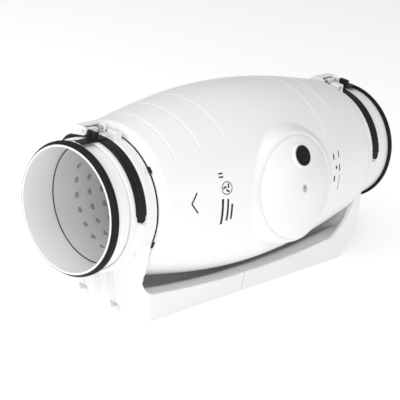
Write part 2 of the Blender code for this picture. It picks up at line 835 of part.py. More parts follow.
def wire(name, points, radius, look, parent):
    """A bent round lead along a POLY spline, made a mesh with welded caps."""
    curve = bpy.data.curves.new(name, "CURVE")
    curve.dimensions = "3D"
    curve.bevel_depth = radius
    curve.bevel_resolution = 2
    curve.use_fill_caps = True
    spline = curve.splines.new("POLY")
    spline.points.add(len(points) - 1)
    for target, point in zip(spline.points, points):
        target.co = (*point, 1)
    guide = bpy.data.objects.new(name + "_guide", curve)
    cutters.objects.link(guide)
    evaluated = guide.evaluated_get(bpy.context.evaluated_depsgraph_get())
    mesh = bpy.data.meshes.new_from_object(evaluated)
    bpy.data.objects.remove(guide)
    bm = bmesh.new()
    bm.from_mesh(mesh)
    return finish(name, bm, look, parent)


lead_bend = arc((0.0275, -BOX_DEPTH + 0.008), 0.0025, 0, 90, 4)
lead_points = [(-BOX_DEPTH - 0.001, 0.030, -0.030), (-BOX_DEPTH + 0.005, 0.030, -0.030)]
lead_points += [(x, y, -0.030) for y, x in lead_bend]
lead_points += [(-BOX_DEPTH + 0.0105, 0.0223, -0.030)]
wire("motor_lead", lead_points, 0.0019, GREY_PLASTIC, cover_axis)


# ---------------------------------------------------------------- clamps


def band(name, side, span, radii, degrees, look, parent=fan_axis, steps=None):
    """A curved bar round the duct between two angles."""
    near, far = [side * x for x in span]
    inner, outer = radii
    profile = [(near, inner), (near, outer), (far, outer), (far, inner)]
    start, stop = degrees
    count = steps or max(2, round((stop - start) / 8))
    return turned(name, profile, look, parent, start=start, sweep=stop - start, steps=count)


def hinge_at(name, side, x, radius, degrees):
    """An empty on a hinge line that runs along X."""
    return frame_at(name, on_ring(side * x, radius, degrees), parent=fan_axis)


def hang_on(piece, hinge):
    """Parent a piece to its hinge and keep it where it is."""
    piece.parent = hinge
    piece.matrix_parent_inverse = Matrix.Translation(-hinge.location)


# The channel under the lever, which is open at the nose so that the strap's knuckle fits in it
LATCH_CHANNEL = [
    (0.0000, 0.0950),
    (0.0000, 0.0600),
    (0.0318, 0.0600),
    (0.0318, 0.0800),
    (0.0285, 0.0830),
    (0.0215, 0.0854),
    (0.0215, 0.0950),
]


def latch_outline():
    """The lever's side view: a round nose about its pin, then a nearly flat bar."""
    pin = on_ring(0, LATCH_PIN_AT, LATCH_PIN_DEG)
    nose = arc((pin.y, pin.z), LATCH_NOSE_RADIUS, 215, 90, 6)
    bar = [
        (0.0250, 0.0884),
        (0.0318, 0.0866),
        (0.0345, 0.0832),
        (0.0354, 0.0738),
        (0.0140, 0.0790),
    ]
    return nose + bar


strap_middle = sum(STRAP_SPAN) / 2
strap_radius = sum(STRAP_RADII) / 2
for end, side in ENDS.items():
    front_hinge = hinge_at(
        f"{end}_front_strap_hinge", side, strap_middle, strap_radius, FRONT_STRAP_DEG[0]
    )
    front_strap = band(
        f"{end}_front_strap", side, STRAP_SPAN, STRAP_RADII, FRONT_STRAP_DEG, BLACK_PLASTIC
    )
    add(front_strap, band(f"{end}_catch", side, CATCH_SPAN, CATCH_RADII, CATCH_DEG, None))
    add(front_strap, band(f"{end}_tab", side, TAB_SPAN, TAB_RADII, TAB_DEG, None))
    hang_on(front_strap, front_hinge)

    back_hinge = hinge_at(
        f"{end}_back_strap_hinge", side, strap_middle, strap_radius, BACK_STRAP_DEG[1]
    )
    back_strap = band(
        f"{end}_back_strap", side, STRAP_SPAN, STRAP_RADII, BACK_STRAP_DEG, BLACK_PLASTIC
    )
    knuckle_span = (STRAP_SPAN[0] - 0.0014, STRAP_SPAN[1] + 0.0014)
    knuckle_radii = (STRAP_RADII[1] - 0.0006, 0.0873)
    knuckle_deg = (BACK_STRAP_DEG[0] + 0.1, BACK_STRAP_DEG[0] + 5.2)
    add(back_strap, band(f"{end}_knuckle", side, knuckle_span, knuckle_radii, knuckle_deg, None))
    pin_low = on_ring(side * (LATCH_SPAN[0] + 0.001), LATCH_PIN_AT, LATCH_PIN_DEG)
    pin_high = on_ring(side * (LATCH_SPAN[1] - 0.001), LATCH_PIN_AT, LATCH_PIN_DEG)
    pin_clear = LATCH_PIN_RADIUS + GAP
    cut(back_strap, rod(f"{end}_knuckle_hole", pin_low, pin_high, pin_clear, None, fan_axis, 12))
    hang_on(back_strap, back_hinge)

    latch_hinge = hinge_at(f"{end}_latch_hinge", side, strap_middle, LATCH_PIN_AT, LATCH_PIN_DEG)
    latch_x = [side * x for x in LATCH_SPAN]
    latch = prism(f"{end}_latch", latch_outline(), along_x, *latch_x, WHITE, fan_axis)
    inner_x = [side * (LATCH_SPAN[0] - LATCH_WALL), side * (LATCH_SPAN[1] + LATCH_WALL)]
    channel = prism(f"{end}_latch_channel", LATCH_CHANNEL, along_x, *inner_x, None, fan_axis)
    cut(latch, channel)
    cut(latch, rod(f"{end}_latch_hole", pin_low, pin_high, pin_clear, None, fan_axis, 12))
    hang_on(latch, latch_hinge)

    pin_ends = [on_ring(side * x, LATCH_PIN_AT, LATCH_PIN_DEG) for x in LATCH_SPAN]
    latch_pin = rod(f"{end}_latch_pin", *pin_ends, LATCH_PIN_RADIUS, STEEL, fan_axis, 12)
    hang_on(latch_pin, latch_hinge)
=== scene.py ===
"""Looks of the inline duct fan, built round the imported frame.

Every detailed piece is made in metres in the frame's own place. The duct runs along X, the wiring
box faces -Y and Z is up.
"""

import json
from math import atan2, cos, exp, hypot, pi, radians, sin, sqrt, tan

import bmesh
import bpy
from mathutils import Matrix, Vector
from mathutils.geometry import delaunay_2d_cdt


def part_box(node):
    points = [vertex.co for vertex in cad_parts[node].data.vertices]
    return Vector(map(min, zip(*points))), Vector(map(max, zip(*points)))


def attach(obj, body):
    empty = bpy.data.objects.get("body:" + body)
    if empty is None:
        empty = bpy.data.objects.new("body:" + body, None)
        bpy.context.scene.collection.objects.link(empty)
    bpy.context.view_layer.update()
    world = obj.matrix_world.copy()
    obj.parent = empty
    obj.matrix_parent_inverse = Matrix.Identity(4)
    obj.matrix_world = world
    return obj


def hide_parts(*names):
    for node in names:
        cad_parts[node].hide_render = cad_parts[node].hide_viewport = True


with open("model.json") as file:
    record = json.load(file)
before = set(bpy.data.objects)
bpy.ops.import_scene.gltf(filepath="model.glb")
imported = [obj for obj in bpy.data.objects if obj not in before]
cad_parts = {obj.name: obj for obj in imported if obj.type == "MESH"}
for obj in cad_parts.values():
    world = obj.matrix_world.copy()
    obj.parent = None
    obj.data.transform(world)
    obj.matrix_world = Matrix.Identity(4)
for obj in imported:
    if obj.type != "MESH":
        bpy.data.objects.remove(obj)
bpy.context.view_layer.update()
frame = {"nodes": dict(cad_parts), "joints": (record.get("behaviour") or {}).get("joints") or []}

# ---- places, from the frame

ENDS = {"outlet": -1, "inlet": 1}

spigot_low, spigot_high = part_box("outlet_spigot")
AXIS_Y = (spigot_low.y + spigot_high.y) / 2
AXIS_Z = (spigot_low.z + spigot_high.z) / 2
HALF_LENGTH = -spigot_low.x

joint_places = {joint["name"]: joint for joint in frame["joints"]}
cover_joint = joint_places["wiring_cover_turn"]
COVER_CENTRE = Vector(cover_joint["pos_m"])
COVER_OUT = Vector(cover_joint["axis"]).normalized()
COVER_RIGHT = Vector((1, 0, 0))
COVER_UP = COVER_RIGHT.cross(-COVER_OUT).normalized()

# ---- sizes, as in the design

GAP = 0.0003
SPIGOT_OUTER = 0.0735
SPIGOT_INNER = 0.071
SPIGOT_INNER_END = 0.1865
CASING_MID_RADIUS = 0.1125
CASING_SHOULDER_RADIUS = 0.0885
CASING_COSINE_HALF = 0.19
CASING_END = 0.1879
CASING_SHOULDER = 0.1825
CASING_WALL = 0.003
CASING_SEAM_DEG = 103.0
CASING_JOINT_DEG = 0.09
YOKE_START = 0.226
YOKE_END = 0.1892
YOKE_RADIUS = 0.077
YOKE_FLANGE_RADIUS = 0.0797
YOKE_BORE = SPIGOT_OUTER + GAP
GASKET_SPAN = (0.2538, 0.245)
GASKET_OUTER = 0.077
SEAL_SPAN = (0.189, 0.1882)
CLIP_SPAN = (0.1907, 0.188)
CLIP_TURNS = {"upper": 45, "lower": -18}
SEAL_RADII = (0.076, 0.0801)
STRAP_SPAN = (0.2204, 0.2055)
STRAP_RADII = (0.0773, 0.0791)
LINER_RADII = (0.0692, 0.0706)
LINER_SPAN = (0.209, 0.066)
FAN_HALF = 0.062
BASE_SEAM_X = -0.008
BASE_SEAM_HALF = 0.0005
BASE_HALF_WIDTH = 0.07
FOOT_BOTTOM_END = 0.18
FOOT_TOP_END = 0.205
FOOT_CORNERS = {"outlet": 0.02, "inlet": 0.01}
INLET_FOOT_BULGE = 0.0065
INLET_FOOT_BULGE_HEIGHT = 0.09
INLET_FOOT_TUCK = 0.0125
INLET_FOOT_TUCK_HEIGHT = 0.03
# (x, z) of each side opening's curve from the rail up into the yoke
OPENING_CORNERS = {
    "outlet": [
        (0.166, 0.0374), (0.171, 0.0386), (0.1755, 0.0404), (0.1805, 0.0436),
        (0.1848, 0.0485), (0.1874, 0.0545), (0.1882, 0.062), (0.1884, 0.074),
    ],
    "inlet": [
        (0.156, 0.0364), (0.16, 0.0377), (0.1645, 0.0402), (0.169, 0.0436),
        (0.174, 0.0486), (0.179, 0.0544), (0.1825, 0.0595), (0.1855, 0.0665),
        (0.187, 0.075), (0.1876, 0.084),
    ],
}
RAIL_HEIGHT = 0.0268
RAIL_SAG = 0.4
RAIL_INNER_Y = 0.045
RAIL_WALL_Y = 0.067
RAIL_TOP = 0.025
TROUGH_ENDS = {"outlet": 0.172, "inlet": 0.19}
NOTCH_STARTS = {"outlet": 0.168, "inlet": 0.193}
NOTCH_STOP = 0.212
NOTCH_Y = (0.019, 0.035)
NOTCH_HEIGHT = 0.012
FLOOR = 0.004
GROOVE_Y = (-0.025, 0.0, 0.025)
GROOVE_HEIGHTS = (0.014, 0.054)
GROOVE_RADII = (0.004, 0.0062)
WALL_SLOT_MIDDLE = (0.12, 0.026)
WALL_SLOT_HALF = (0.01, 0.003)
COVER_RADIUS = 0.0615
COVER_EDGE = 0.002
COVER_RISE = 0.015
COVER_WALL = 0.0025
GLAND_OFFSET = 0.038
GLAND_SIDE = 0.002
GLAND_RADIUS = 0.0123
RECESS_RADIUS = 0.0046
RECESS_FLOOR = 0.0135
SCREW_CLEAR = 0.0022
FRONT_STRAP_DEG = (5, 96)
BACK_STRAP_DEG = (98, 175)
LATCH_SPAN = (0.226, 0.194)
LATCH_PIN_DEG = 100.6
LATCH_PIN_AT = 0.085
LATCH_PIN_RADIUS = 0.0018
SHAFT_RADIUS = 0.003
BEARING_RADIUS = 0.009

DOME_RADIUS = (COVER_RADIUS**2 + COVER_RISE**2) / (2 * COVER_RISE)
DOME_DEPTH = DOME_RADIUS - COVER_RISE - COVER_EDGE


def casing_radius(x):
    swell = CASING_MID_RADIUS - CASING_SHOULDER_RADIUS
    return CASING_SHOULDER_RADIUS + swell * cos(pi * x / (2 * CASING_COSINE_HALF))


def dome_height(rho, inset=0.0):
    """Height of the cover's dome above its edge plane at a distance from its centre."""
    return sqrt((DOME_RADIUS - inset) ** 2 - rho**2) - DOME_DEPTH


def on_duct(x, radius, degrees):
    """A point on a ring round the duct: 0 degrees is the front, 90 the top."""
    angle = radians(degrees)
    return Vector((x, AXIS_Y - radius * cos(angle), AXIS_Z + radius * sin(angle)))


def places_about(centre, out, right, up):
    """A function that gives the points round an axis: 0 degrees is the right, 90 the top."""

    def place(height, radius, degrees):
        angle = radians(degrees)
        across = right * (radius * cos(angle)) + up * (radius * sin(angle))
        return centre + out * height + across

    return place


on_cover = places_about(COVER_CENTRE, COVER_OUT, COVER_RIGHT, COVER_UP)


def arc_length(degrees, radius):
    return degrees * pi / 180 * radius


def arc_degrees(length, radius):
    return length / radius * 180 / pi


def smooth_step(value):
    value = min(1.0, max(0.0, value))
    return value * value * (3 - 2 * value)


# ---- materials


class Graph:
    """A new material, with short ways to add nodes and join them."""

    def __init__(self, name):
        self.material = bpy.data.materials.new(name)
        self.material.use_nodes = True
        self.tree = self.material.node_tree
        self.shader = self.tree.nodes["Principled BSDF"]
        self.place = self.node("TexCoord", "Object", {})

    def fill(self, node, values):
        """Join each named input to another node's output, or give it a plain value."""
        for name, value in values.items():
            if isinstance(value, bpy.types.NodeSocket):
                self.tree.links.new(value, node.inputs[name])
            else:
                node.inputs[name].default_value = value

    def node(self, kind, output, values):
        made = self.tree.nodes.new(f"ShaderNode{kind}")
        self.fill(made, values)
        return made.outputs[output]

    def noise(self, scale, detail=3.0, roughness=0.5, place=None):
        values = {"Scale": scale, "Detail": detail, "Roughness": roughness}
        return self.node("TexNoise", "Fac", {"Vector": place or self.place, **values})

    def ranged(self, value, low, high):
        """The 0.3 to 0.7 middle of a noise, spread from low to high."""
        spread = {"From Min": 0.3, "From Max": 0.7, "To Min": low, "To Max": high}
        return self.node("MapRange", "Result", {"Value": value, **spread})

    def mixed(self, factor, first, second):
        blend = self.tree.nodes.new("ShaderNodeMix")
        blend.data_type = "RGBA"
        self.fill(blend, {"A": (*first, 1), "B": (*second, 1), "Factor": factor})
        return blend.outputs["Result"]

    def finish(self, values, height, depth, strength=1.0):
        """Fill in the shader, with a bump of a depth that follows a height."""
        bump = {"Strength": strength, "Distance": depth, "Height": height}
        self.fill(self.shader, {**values, "Normal": self.node("Bump", "Normal", bump)})
        return self.material


def moulded(
    name, colour, tint, roughness, grain, depth, spread=0.05, metallic=0.0, coat=0.0, specular=0.5
):
    """A moulded or painted surface: slow mottling, uneven gloss and a fine grain."""
    graph = Graph(name)
    cloud = graph.ranged(graph.noise(14.0, 4.0), 0.0, 1.0)
    gloss = graph.noise(55.0, 5.0, 0.65)
    values = {
        "Base Color": graph.mixed(cloud, colour, tint),
        "Roughness": graph.ranged(gloss, roughness - spread, roughness + spread),
        "Metallic": metallic,
        "Specular IOR Level": specular,
        "Coat Weight": coat,
        "Coat Roughness": 0.12,
    }
    return graph.finish(values, graph.noise(grain, 2.0), depth)


def foam_look():
    graph = Graph("open_cell_foam")
    cells = graph.node("TexVoronoi", "Distance", {"Scale": 900.0, "Vector": graph.place})
    # Painted shade for the foam's pores: the grey darkens from 0.62 to 0.34 with each cell's
    # distance, which also drives the bump
    pore_shade = graph.node("MapRange", "Result", {"From Max": 0.6, "Value": cells})
    colour = graph.mixed(pore_shade, (0.62, 0.62, 0.62), (0.34, 0.34, 0.345))
    return graph.finish({"Base Color": colour, "Roughness": 0.95}, cells, 0.0006, 0.8)


def brushed_look():
    graph = Graph("zinc_plated_steel")
    stretch = {"Scale": (60.0, 1400.0, 1400.0), "Vector": graph.place}
    lines = graph.noise(1.0, place=graph.node("Mapping", "Vector", stretch))
    values = {
        "Roughness": graph.ranged(lines, 0.22, 0.38),
        "Base Color": graph.mixed(lines, (0.66, 0.66, 0.68), (0.56, 0.57, 0.6)),
        "Metallic": 1.0,
    }
    return graph.finish(values, lines, 20e-6)


SHELL_WHITE = moulded(
    "satin_white_shell", (0.815, 0.82, 0.825), (0.795, 0.8, 0.805), 0.33, 1500, 12e-6, coat=0.12
)
BASE_WHITE = moulded(
    "satin_white_base", (0.8, 0.805, 0.81), (0.775, 0.78, 0.785), 0.4, 1300, 18e-6, coat=0.05
)
INNER_WHITE = moulded(
    "inner_white", (0.7, 0.7, 0.7), (0.675, 0.675, 0.67), 0.46, 1200, 18e-6
)
RUBBER = moulded(
    "black_rubber", (0.006, 0.006, 0.0065), (0.01, 0.01, 0.01), 0.6, 1800, 30e-6, 0.07,
    specular=0.18,
)
NYLON = moulded(
    "black_nylon", (0.007, 0.007, 0.0075), (0.011, 0.011, 0.0115), 0.46, 1100, 20e-6, 0.06,
    specular=0.22,
)
GREY_NYLON = moulded(
    "grey_glass_filled_nylon", (0.3, 0.31, 0.32), (0.26, 0.27, 0.28), 0.48, 1600, 30e-6, 0.06
)
ROTOR_PAINT = moulded(
    "rotor_paint", (0.025, 0.025, 0.028), (0.035, 0.035, 0.038), 0.4, 900, 30e-6, metallic=0.3
)
GREEN = moulded("terminal_green", (0.06, 0.2, 0.1), (0.05, 0.17, 0.085), 0.42, 1300, 20e-6)
INK = moulded(
    "grey_ink", (0.012, 0.012, 0.014), (0.02, 0.02, 0.022), 0.55, 2500, 8e-6, specular=0.2
)
FOAM = foam_look()
STEEL = brushed_look()

# ---- mesh helpers


def linked(name, data):
    """A new object in the scene, of a mesh, a lamp or a camera."""
    made = bpy.data.objects.new(name, data)
    bpy.context.scene.collection.objects.link(made)
    return made


def new_piece(name, mesh, look, node=None, body="housing", sharp=32):
    """Make the object, give it its look and fix it to its body."""
    mesh.name = name
    mesh.materials.clear()
    mesh.materials.append(look)
    mesh.shade_smooth()
    mesh.set_sharp_from_angle(angle=radians(sharp))
    piece = linked(name, mesh)
    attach(piece, body)
    if node:
        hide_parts(node)


def finished(bm):
    """Turn the faces out and return the mesh."""
    bmesh.ops.recalc_face_normals(bm, faces=bm.faces)
    mesh = bpy.data.meshes.new("mesh")
    bm.to_mesh(mesh)
    bm.free()
    return mesh


def closed_mesh(bm):
    """Weld the points, fill open ends and return the mesh."""
    bmesh.ops.remove_doubles(bm, verts=bm.verts, dist=1e-6)
    bmesh.ops.holes_fill(bm, edges=bm.edges, sides=0)
    return finished(bm)


def bands(bm, rings, closed=True):
    """Join each ring of points to the next by a band of faces."""
    for first, second in zip(rings, rings[1:]):
        count = len(first)
        for i in range(count if closed else count - 1):
            j = (i + 1) % count
            bm.faces.new((first[i], first[j], second[j], second[i]))


def skin(bm, sections):
    """Skin rings of equal point counts, from the first to the last, and cap both ends."""
    rings = [[bm.verts.new(point) for point in section] for section in sections]
    bands(bm, rings)
    bm.faces.new(rings[0])
    bm.faces.new(rings[-1])


def skinned(sections):
    bm = bmesh.new()
    skin(bm, sections)
    return closed_mesh(bm)


def rounded(points, radius, steps=3):
    """Round the corners of a closed outline of (a, b) points."""
    made = []
    for index, corner in enumerate(points):
        corner = Vector(corner)
        back = Vector(points[index - 1]) - corner
        ahead = Vector(points[(index + 1) % len(points)]) - corner
        angle = back.angle(ahead)
        if angle > radians(170):
            made.append(tuple(corner))
            continue
        reach = min(radius / tan(angle / 2), 0.45 * back.length, 0.45 * ahead.length)
        start = corner + back.normalized() * reach
        stop = corner + ahead.normalized() * reach
        for step in range(steps + 1):
            share = step / steps
            point = start * (1 - share) ** 2 + corner * 2 * share * (1 - share) + stop * share**2
            made.append(tuple(point))
    return made


def lathe(profile, steps=128, start=0.0, sweep=360.0, closed=True, place=on_duct):
    """Turn (height, radius) points about an axis that place knows."""
    bm = bmesh.new()
    whole = sweep == 360.0
    turns = [start + sweep * step / steps for step in range(steps + (0 if whole else 1))]
    rings = [[bm.verts.new(place(h, r, turn)) for h, r in profile] for turn in turns]
    bands(bm, rings + rings[:1] if whole else rings, closed)
    return closed_mesh(bm)


def at_side(side, points):
    """A profile's points at one end of the duct: -1 is the outlet, 1 the inlet."""
    return [(side * x, r) for x, r in points]


def ring_profile(side, near, far, inner, outer, radius=0.0004, steps=3):
    """A tube's section between two places along the duct, with its edges rounded."""
    outline = at_side(side, [(near, inner), (near, outer), (far, outer), (far, inner)])
    return rounded(outline, radius, steps)


def carved(mesh, cuts=(), joins=(), voxel=None, smoothing=0):
    """Join and cut a mesh by others, then remesh and smooth it where asked."""
    body = linked("body", mesh)
    tools = []
    for operation, others in (("UNION", joins), ("DIFFERENCE", cuts)):
        for other in others:
            tools.append(linked("tool", other))
            step = body.modifiers.new(operation, "BOOLEAN")
            step.operation = operation
            step.object = tools[-1]
            step.solver = "EXACT"
    if voxel:
        remesh = body.modifiers.new("skin", "REMESH")
        remesh.mode = "VOXEL"
        remesh.voxel_size = voxel
        relax = body.modifiers.new("relax", "SMOOTH")
        relax.factor = 0.5
        relax.iterations = smoothing
    evaluated = body.evaluated_get(bpy.context.evaluated_depsgraph_get())
    result = bpy.data.meshes.new_from_object(evaluated)
    for thing in [body, *tools]:
        bpy.data.objects.remove(thing)
    return result


def prism(outline, place, low, high):
    """Extrude a flat outline from low to high; place turns (a, b, depth) into a point."""
    bm = bmesh.new()
    rings = [[bm.verts.new(place(a, b, depth)) for a, b in outline] for depth in (low, high)]
    for ring in rings:
        bm.faces.new(ring)
    bands(bm, rings)
    return closed_mesh(bm)


def duct_section(a, b, depth):
    """(y, z) from the duct's axis, at x = depth."""
    return (depth, AXIS_Y + a, AXIS_Z + b)


def base_section(a, b, depth):
    """(y, z) from the duct's middle line on the floor, at x = depth."""
    return (depth, AXIS_Y + a, b)


def base_side(a, b, depth):
    """(x, z) at y = depth from the duct's middle line."""
    return (a, AXIS_Y + depth, b)


def block(low, high):
    """A box from the duct's middle line on the floor."""
    corners = [(low[0], low[2]), (high[0], low[2]), (high[0], high[2]), (low[0], high[2])]
    return prism(corners, base_side, low[1], high[1])


def rod(start, end, radius, top_radius=None, steps=24):
    start, end = Vector(start), Vector(end)
    along = end - start
    turn = Vector((0, 0, 1)).rotation_difference(along)
    bm = bmesh.new()
    bmesh.ops.create_cone(
        bm,
        cap_ends=True,
        segments=steps,
        radius1=radius,
        radius2=radius if top_radius is None else top_radius,
        depth=along.length,
        matrix=Matrix.LocRotScale((start + end) / 2, turn, None),
    )
    return closed_mesh(bm)


def arc(centre, radius, start, end, steps):
    turns = [radians(start + (end - start) * i / steps) for i in range(steps + 1)]
    return [(centre[0] + radius * cos(t), centre[1] + radius * sin(t)) for t in turns]


# ---- casing shells

# Where the moulded hairlines are along the duct, and how far round each one runs down
HAIRLINES = {-0.159: 40, -0.123: 40, -0.084: 40, 0.082: 26, 0.117: 45}
HAIRLINE_DEPTH = 0.0006
HAIRLINE_WIDTH = 0.0006
HAIRLINE_OFFSETS = [0.0003 * i for i in range(-4, 5)]
BOSS_LAND = 0.0022
BOSS_BLEND = 0.0115
BOSS_HEIGHT = 0.0007
BOSS_OUT = COVER_RADIUS + BOSS_LAND + BOSS_BLEND + 0.0015
BOSS_IN = COVER_RADIUS + 0.0002
BOSS_STEP = 0.0008
BOSS_STEPS_ROUND = 200
BOSS_LOWEST = -0.06
EDGE_ROUND = 0.0011
EDGE_TURNS = [0.05, 0.14, 0.26, 0.4, 0.56]

# The casing's end, from the barrel's last point round the shoulder and down the end wall
END_CURVE = [
    (0.1836, 0.088), (0.1847, 0.0872), (0.1857, 0.0861), (0.1866, 0.0847), (0.1873, 0.0831),
    (0.1877, 0.0815), (CASING_END, 0.0798), (CASING_END, 0.0775), (CASING_END, 0.075),
]
END_STEP = 0.002


def section_point(u):
    """The casing's (x, radius) at a place along its section; past the shoulder u counts steps."""
    side = 1 if u > 0 else -1
    past = (abs(u) - CASING_SHOULDER) / END_STEP
    if past <= 0:
        return u, casing_radius(u)
    curve = [(CASING_SHOULDER, casing_radius(CASING_SHOULDER)), *END_CURVE]
    index = min(int(past), len(END_CURVE) - 1)
    share = min(past - index, 1.0)
    start, stop = curve[index], curve[index + 1]
    x = start[0] + (stop[0] - start[0]) * share
    return side * x, start[1] + (stop[1] - start[1]) * share


def hairline(u, degrees):
    """Depth of the moulded hairlines that run down from the top seam."""
    above = degrees if degrees <= CASING_SEAM_DEG else 2 * CASING_SEAM_DEG - degrees
    depth = 0.0
    for x, end_deg in HAIRLINES.items():
        away = (u - x) / HAIRLINE_WIDTH
        if abs(away) < 4:
            depth += HAIRLINE_DEPTH * exp(-away * away) * smooth_step((above - end_deg) / 14)
    return depth


def seam_drop(u, degrees, start, stop):
    """How far the shell rolls in at its two long edges."""
    radius = section_point(u)[1]
    away = arc_length(min(degrees - start, stop - degrees), radius)
    if away >= EDGE_ROUND:
        return 0.0
    return EDGE_ROUND * (1 - sqrt(max(0.0, 1 - (1 - away / EDGE_ROUND) ** 2)))


def cover_place(point):
    """(height, distance) of a point from the wiring cover's plane and axis."""
    away = point - COVER_CENTRE
    return away.dot(COVER_OUT), hypot(away.dot(COVER_RIGHT), away.dot(COVER_UP))


def cover_distance(u, degrees):
    """How far a place on the plain barrel is from the wiring cover's axis."""
    return cover_place(on_duct(u, casing_radius(u), degrees))[1]


def boss_lift(place, start):
    """How the boss round the cover moves the front shell's wall at a place."""
    height, rho = cover_place(place)
    if start >= 0 or height <= BOSS_LOWEST or rho >= BOSS_OUT:
        return Vector()
    past = rho - COVER_RADIUS - BOSS_LAND
    blended = height + (BOSS_HEIGHT - height) * (1 - smooth_step(past / BOSS_BLEND))
    return COVER_OUT * (blended - height)


def casing_outer(u, degrees, start, stop):
    x, radius = section_point(u)
    radius -= hairline(u, degrees) + seam_drop(u, degrees, start, stop)
    point = on_duct(x, radius, degrees)
    return point + boss_lift(point, start)


def casing_inner(u, degrees, start, stop):
    """The wall's inner face, a wall's thickness below the outer one."""
    x, radius = section_point(u)
    side = 1 if x > 0 else -1
    x = side * min(abs(x), CASING_END - CASING_WALL)
    point = on_duct(x, max(END_CURVE[-1][1], radius - CASING_WALL), degrees)
    return point + boss_lift(on_duct(x, radius, degrees), start)


def casing_under(right, up):
    """(x, degrees) of the plain barrel under a point of the cover's plane."""
    height = 0.0
    for _ in range(12):
        point = COVER_CENTRE + COVER_RIGHT * right + COVER_UP * up + COVER_OUT * height
        y, z = AXIS_Y - point.y, point.z - AXIS_Z
        error = casing_radius(point.x) - hypot(y, z)
        slope = (-COVER_OUT.y * y + COVER_OUT.z * z) / hypot(y, z)
        height += error / slope
    return point.x, atan2(z, y) * 180 / pi


def cover_circle(radius, steps):
    """(x, degrees) of the plain barrel under a circle round the cover."""
    circle = arc((0, 0), radius, 0, 360 - 360 / steps, steps - 1)
    return [casing_under(*offset) for offset in circle]


def spaced(low, high, step, near=(), fine=()):
    """Places from low to high by about step, with the offsets in fine round each place in near."""
    count = max(1, round((high - low) / step))
    places = [low + (high - low) * i / count for i in range(count + 1)]
    reach = max((abs(offset) for offset in fine), default=0)
    for middle in near:
        places = [p for p in places if abs(p - middle) > reach * 1.2 or p in (low, high)]
        places += [middle + offset for offset in fine if low < middle + offset < high]
    return sorted(places)


PLANE_SCALE = 0.1  # metres of plane for each radian, so that the flat triangulation is even


def shell_outline(boss, u_places, turns):
    """A shell's flat border, the cover's opening in it, and the edges along both."""
    start, stop = turns[0], turns[-1]
    border = [(u, start) for u in u_places]
    border += [(u_places[-1], turn) for turn in turns[1:]]
    border += [(u, stop) for u in reversed(u_places[:-1])]
    border += [(u_places[0], turn) for turn in reversed(turns[1:-1])]
    flat, edges = [], []
    for loop in [border, cover_circle(BOSS_IN, 180)] if boss else [border]:
        first = len(flat)
        flat += loop
        edges += [(first + i, first + (i + 1) % len(loop)) for i in range(len(loop))]
    return flat, edges


def triangles_of(flat, edges, boss):
    """Triangulate the flat points and leave out the cover's opening."""
    plane = [Vector((u, arc_length(turn, PLANE_SCALE))) for u, turn in flat]
    coords, _, faces, *_ = delaunay_2d_cdt(plane, edges, [], 0, 1e-7)
    places = [(point.x, arc_degrees(point.y, PLANE_SCALE)) for point in coords]
    if not boss:
        return places, faces
    kept = []
    for face in faces:
        u = sum(places[i][0] for i in face) / len(face)
        turn = sum(places[i][1] for i in face) / len(face)
        if cover_distance(u, turn) > BOSS_IN * 0.9995:
            kept.append(face)
    return places, kept


def casing_shell(boss, start, stop):
    barrel = spaced(-CASING_SHOULDER, CASING_SHOULDER, 0.0019, HAIRLINES, HAIRLINE_OFFSETS)
    ends = [CASING_SHOULDER + END_STEP * (i + 1) for i in range(len(END_CURVE))]
    u_places = sorted([-u for u in ends] + barrel + ends)
    turns = spaced(start, stop, 1.0)
    turns = sorted(turns + [start + d for d in EDGE_TURNS] + [stop - d for d in EDGE_TURNS])
    outline, edges = shell_outline(boss, u_places, turns)

    outer = list(outline)
    for u in u_places[1:-1]:
        for turn in turns[1:-1]:
            plain = not boss or abs(u) >= CASING_SHOULDER
            if plain or cover_distance(u, turn) >= BOSS_OUT + BOSS_STEP:
                outer.append((u, turn))
    rho = BOSS_IN + BOSS_STEP / 2
    while boss and rho < BOSS_OUT:
        outer += cover_circle(rho, BOSS_STEPS_ROUND)
        rho += BOSS_STEP

    inner = list(outline)
    for u in spaced(-CASING_SHOULDER, CASING_SHOULDER, 0.009)[1:-1]:
        for turn in spaced(start, stop, 6.0)[1:-1]:
            if not boss or cover_distance(u, turn) >= COVER_RADIUS + 0.004:
                inner.append((u, turn))

    bm = bmesh.new()
    for flat, wall in ((outer, casing_outer), (inner, casing_inner)):
        places, faces = triangles_of(flat, edges, boss)
        verts = [bm.verts.new(wall(u, turn, start, stop)) for u, turn in places]
        for face in faces:
            bm.faces.new([verts[i] for i in face])
    loose = [vert for vert in bm.verts if not vert.link_faces]
    bmesh.ops.delete(bm, geom=loose, context="VERTS")
    bridge_rims(bm)
    return finished(bm)


def bridge_rims(bm):
    """Join the outer and inner rims, loop by loop: the border, and the cover's opening."""
    groups = {"border": [], "opening": []}
    for edge in [edge for edge in bm.edges if len(edge.link_faces) == 1]:
        middle = (edge.verts[0].co + edge.verts[1].co) / 2
        near = cover_place(middle)[1] < COVER_RADIUS + 0.006 and middle.y < AXIS_Y
        groups["opening" if near else "border"].append(edge)
    for edges in filter(None, groups.values()):
        bmesh.ops.bridge_loops(bm, edges=edges)


CASING_HALVES = {
    "front": (CASING_SEAM_DEG - 180 + CASING_JOINT_DEG, CASING_SEAM_DEG - CASING_JOINT_DEG),
    "back": (CASING_SEAM_DEG + CASING_JOINT_DEG, CASING_SEAM_DEG + 180 - CASING_JOINT_DEG),
}
for half, (start, stop) in CASING_HALVES.items():
    shell = casing_shell(half == "front", start, stop)
    new_piece(f"casing_{half}", shell, SHELL_WHITE, f"casing_{half}_shell", sharp=50)

# ---- base halves


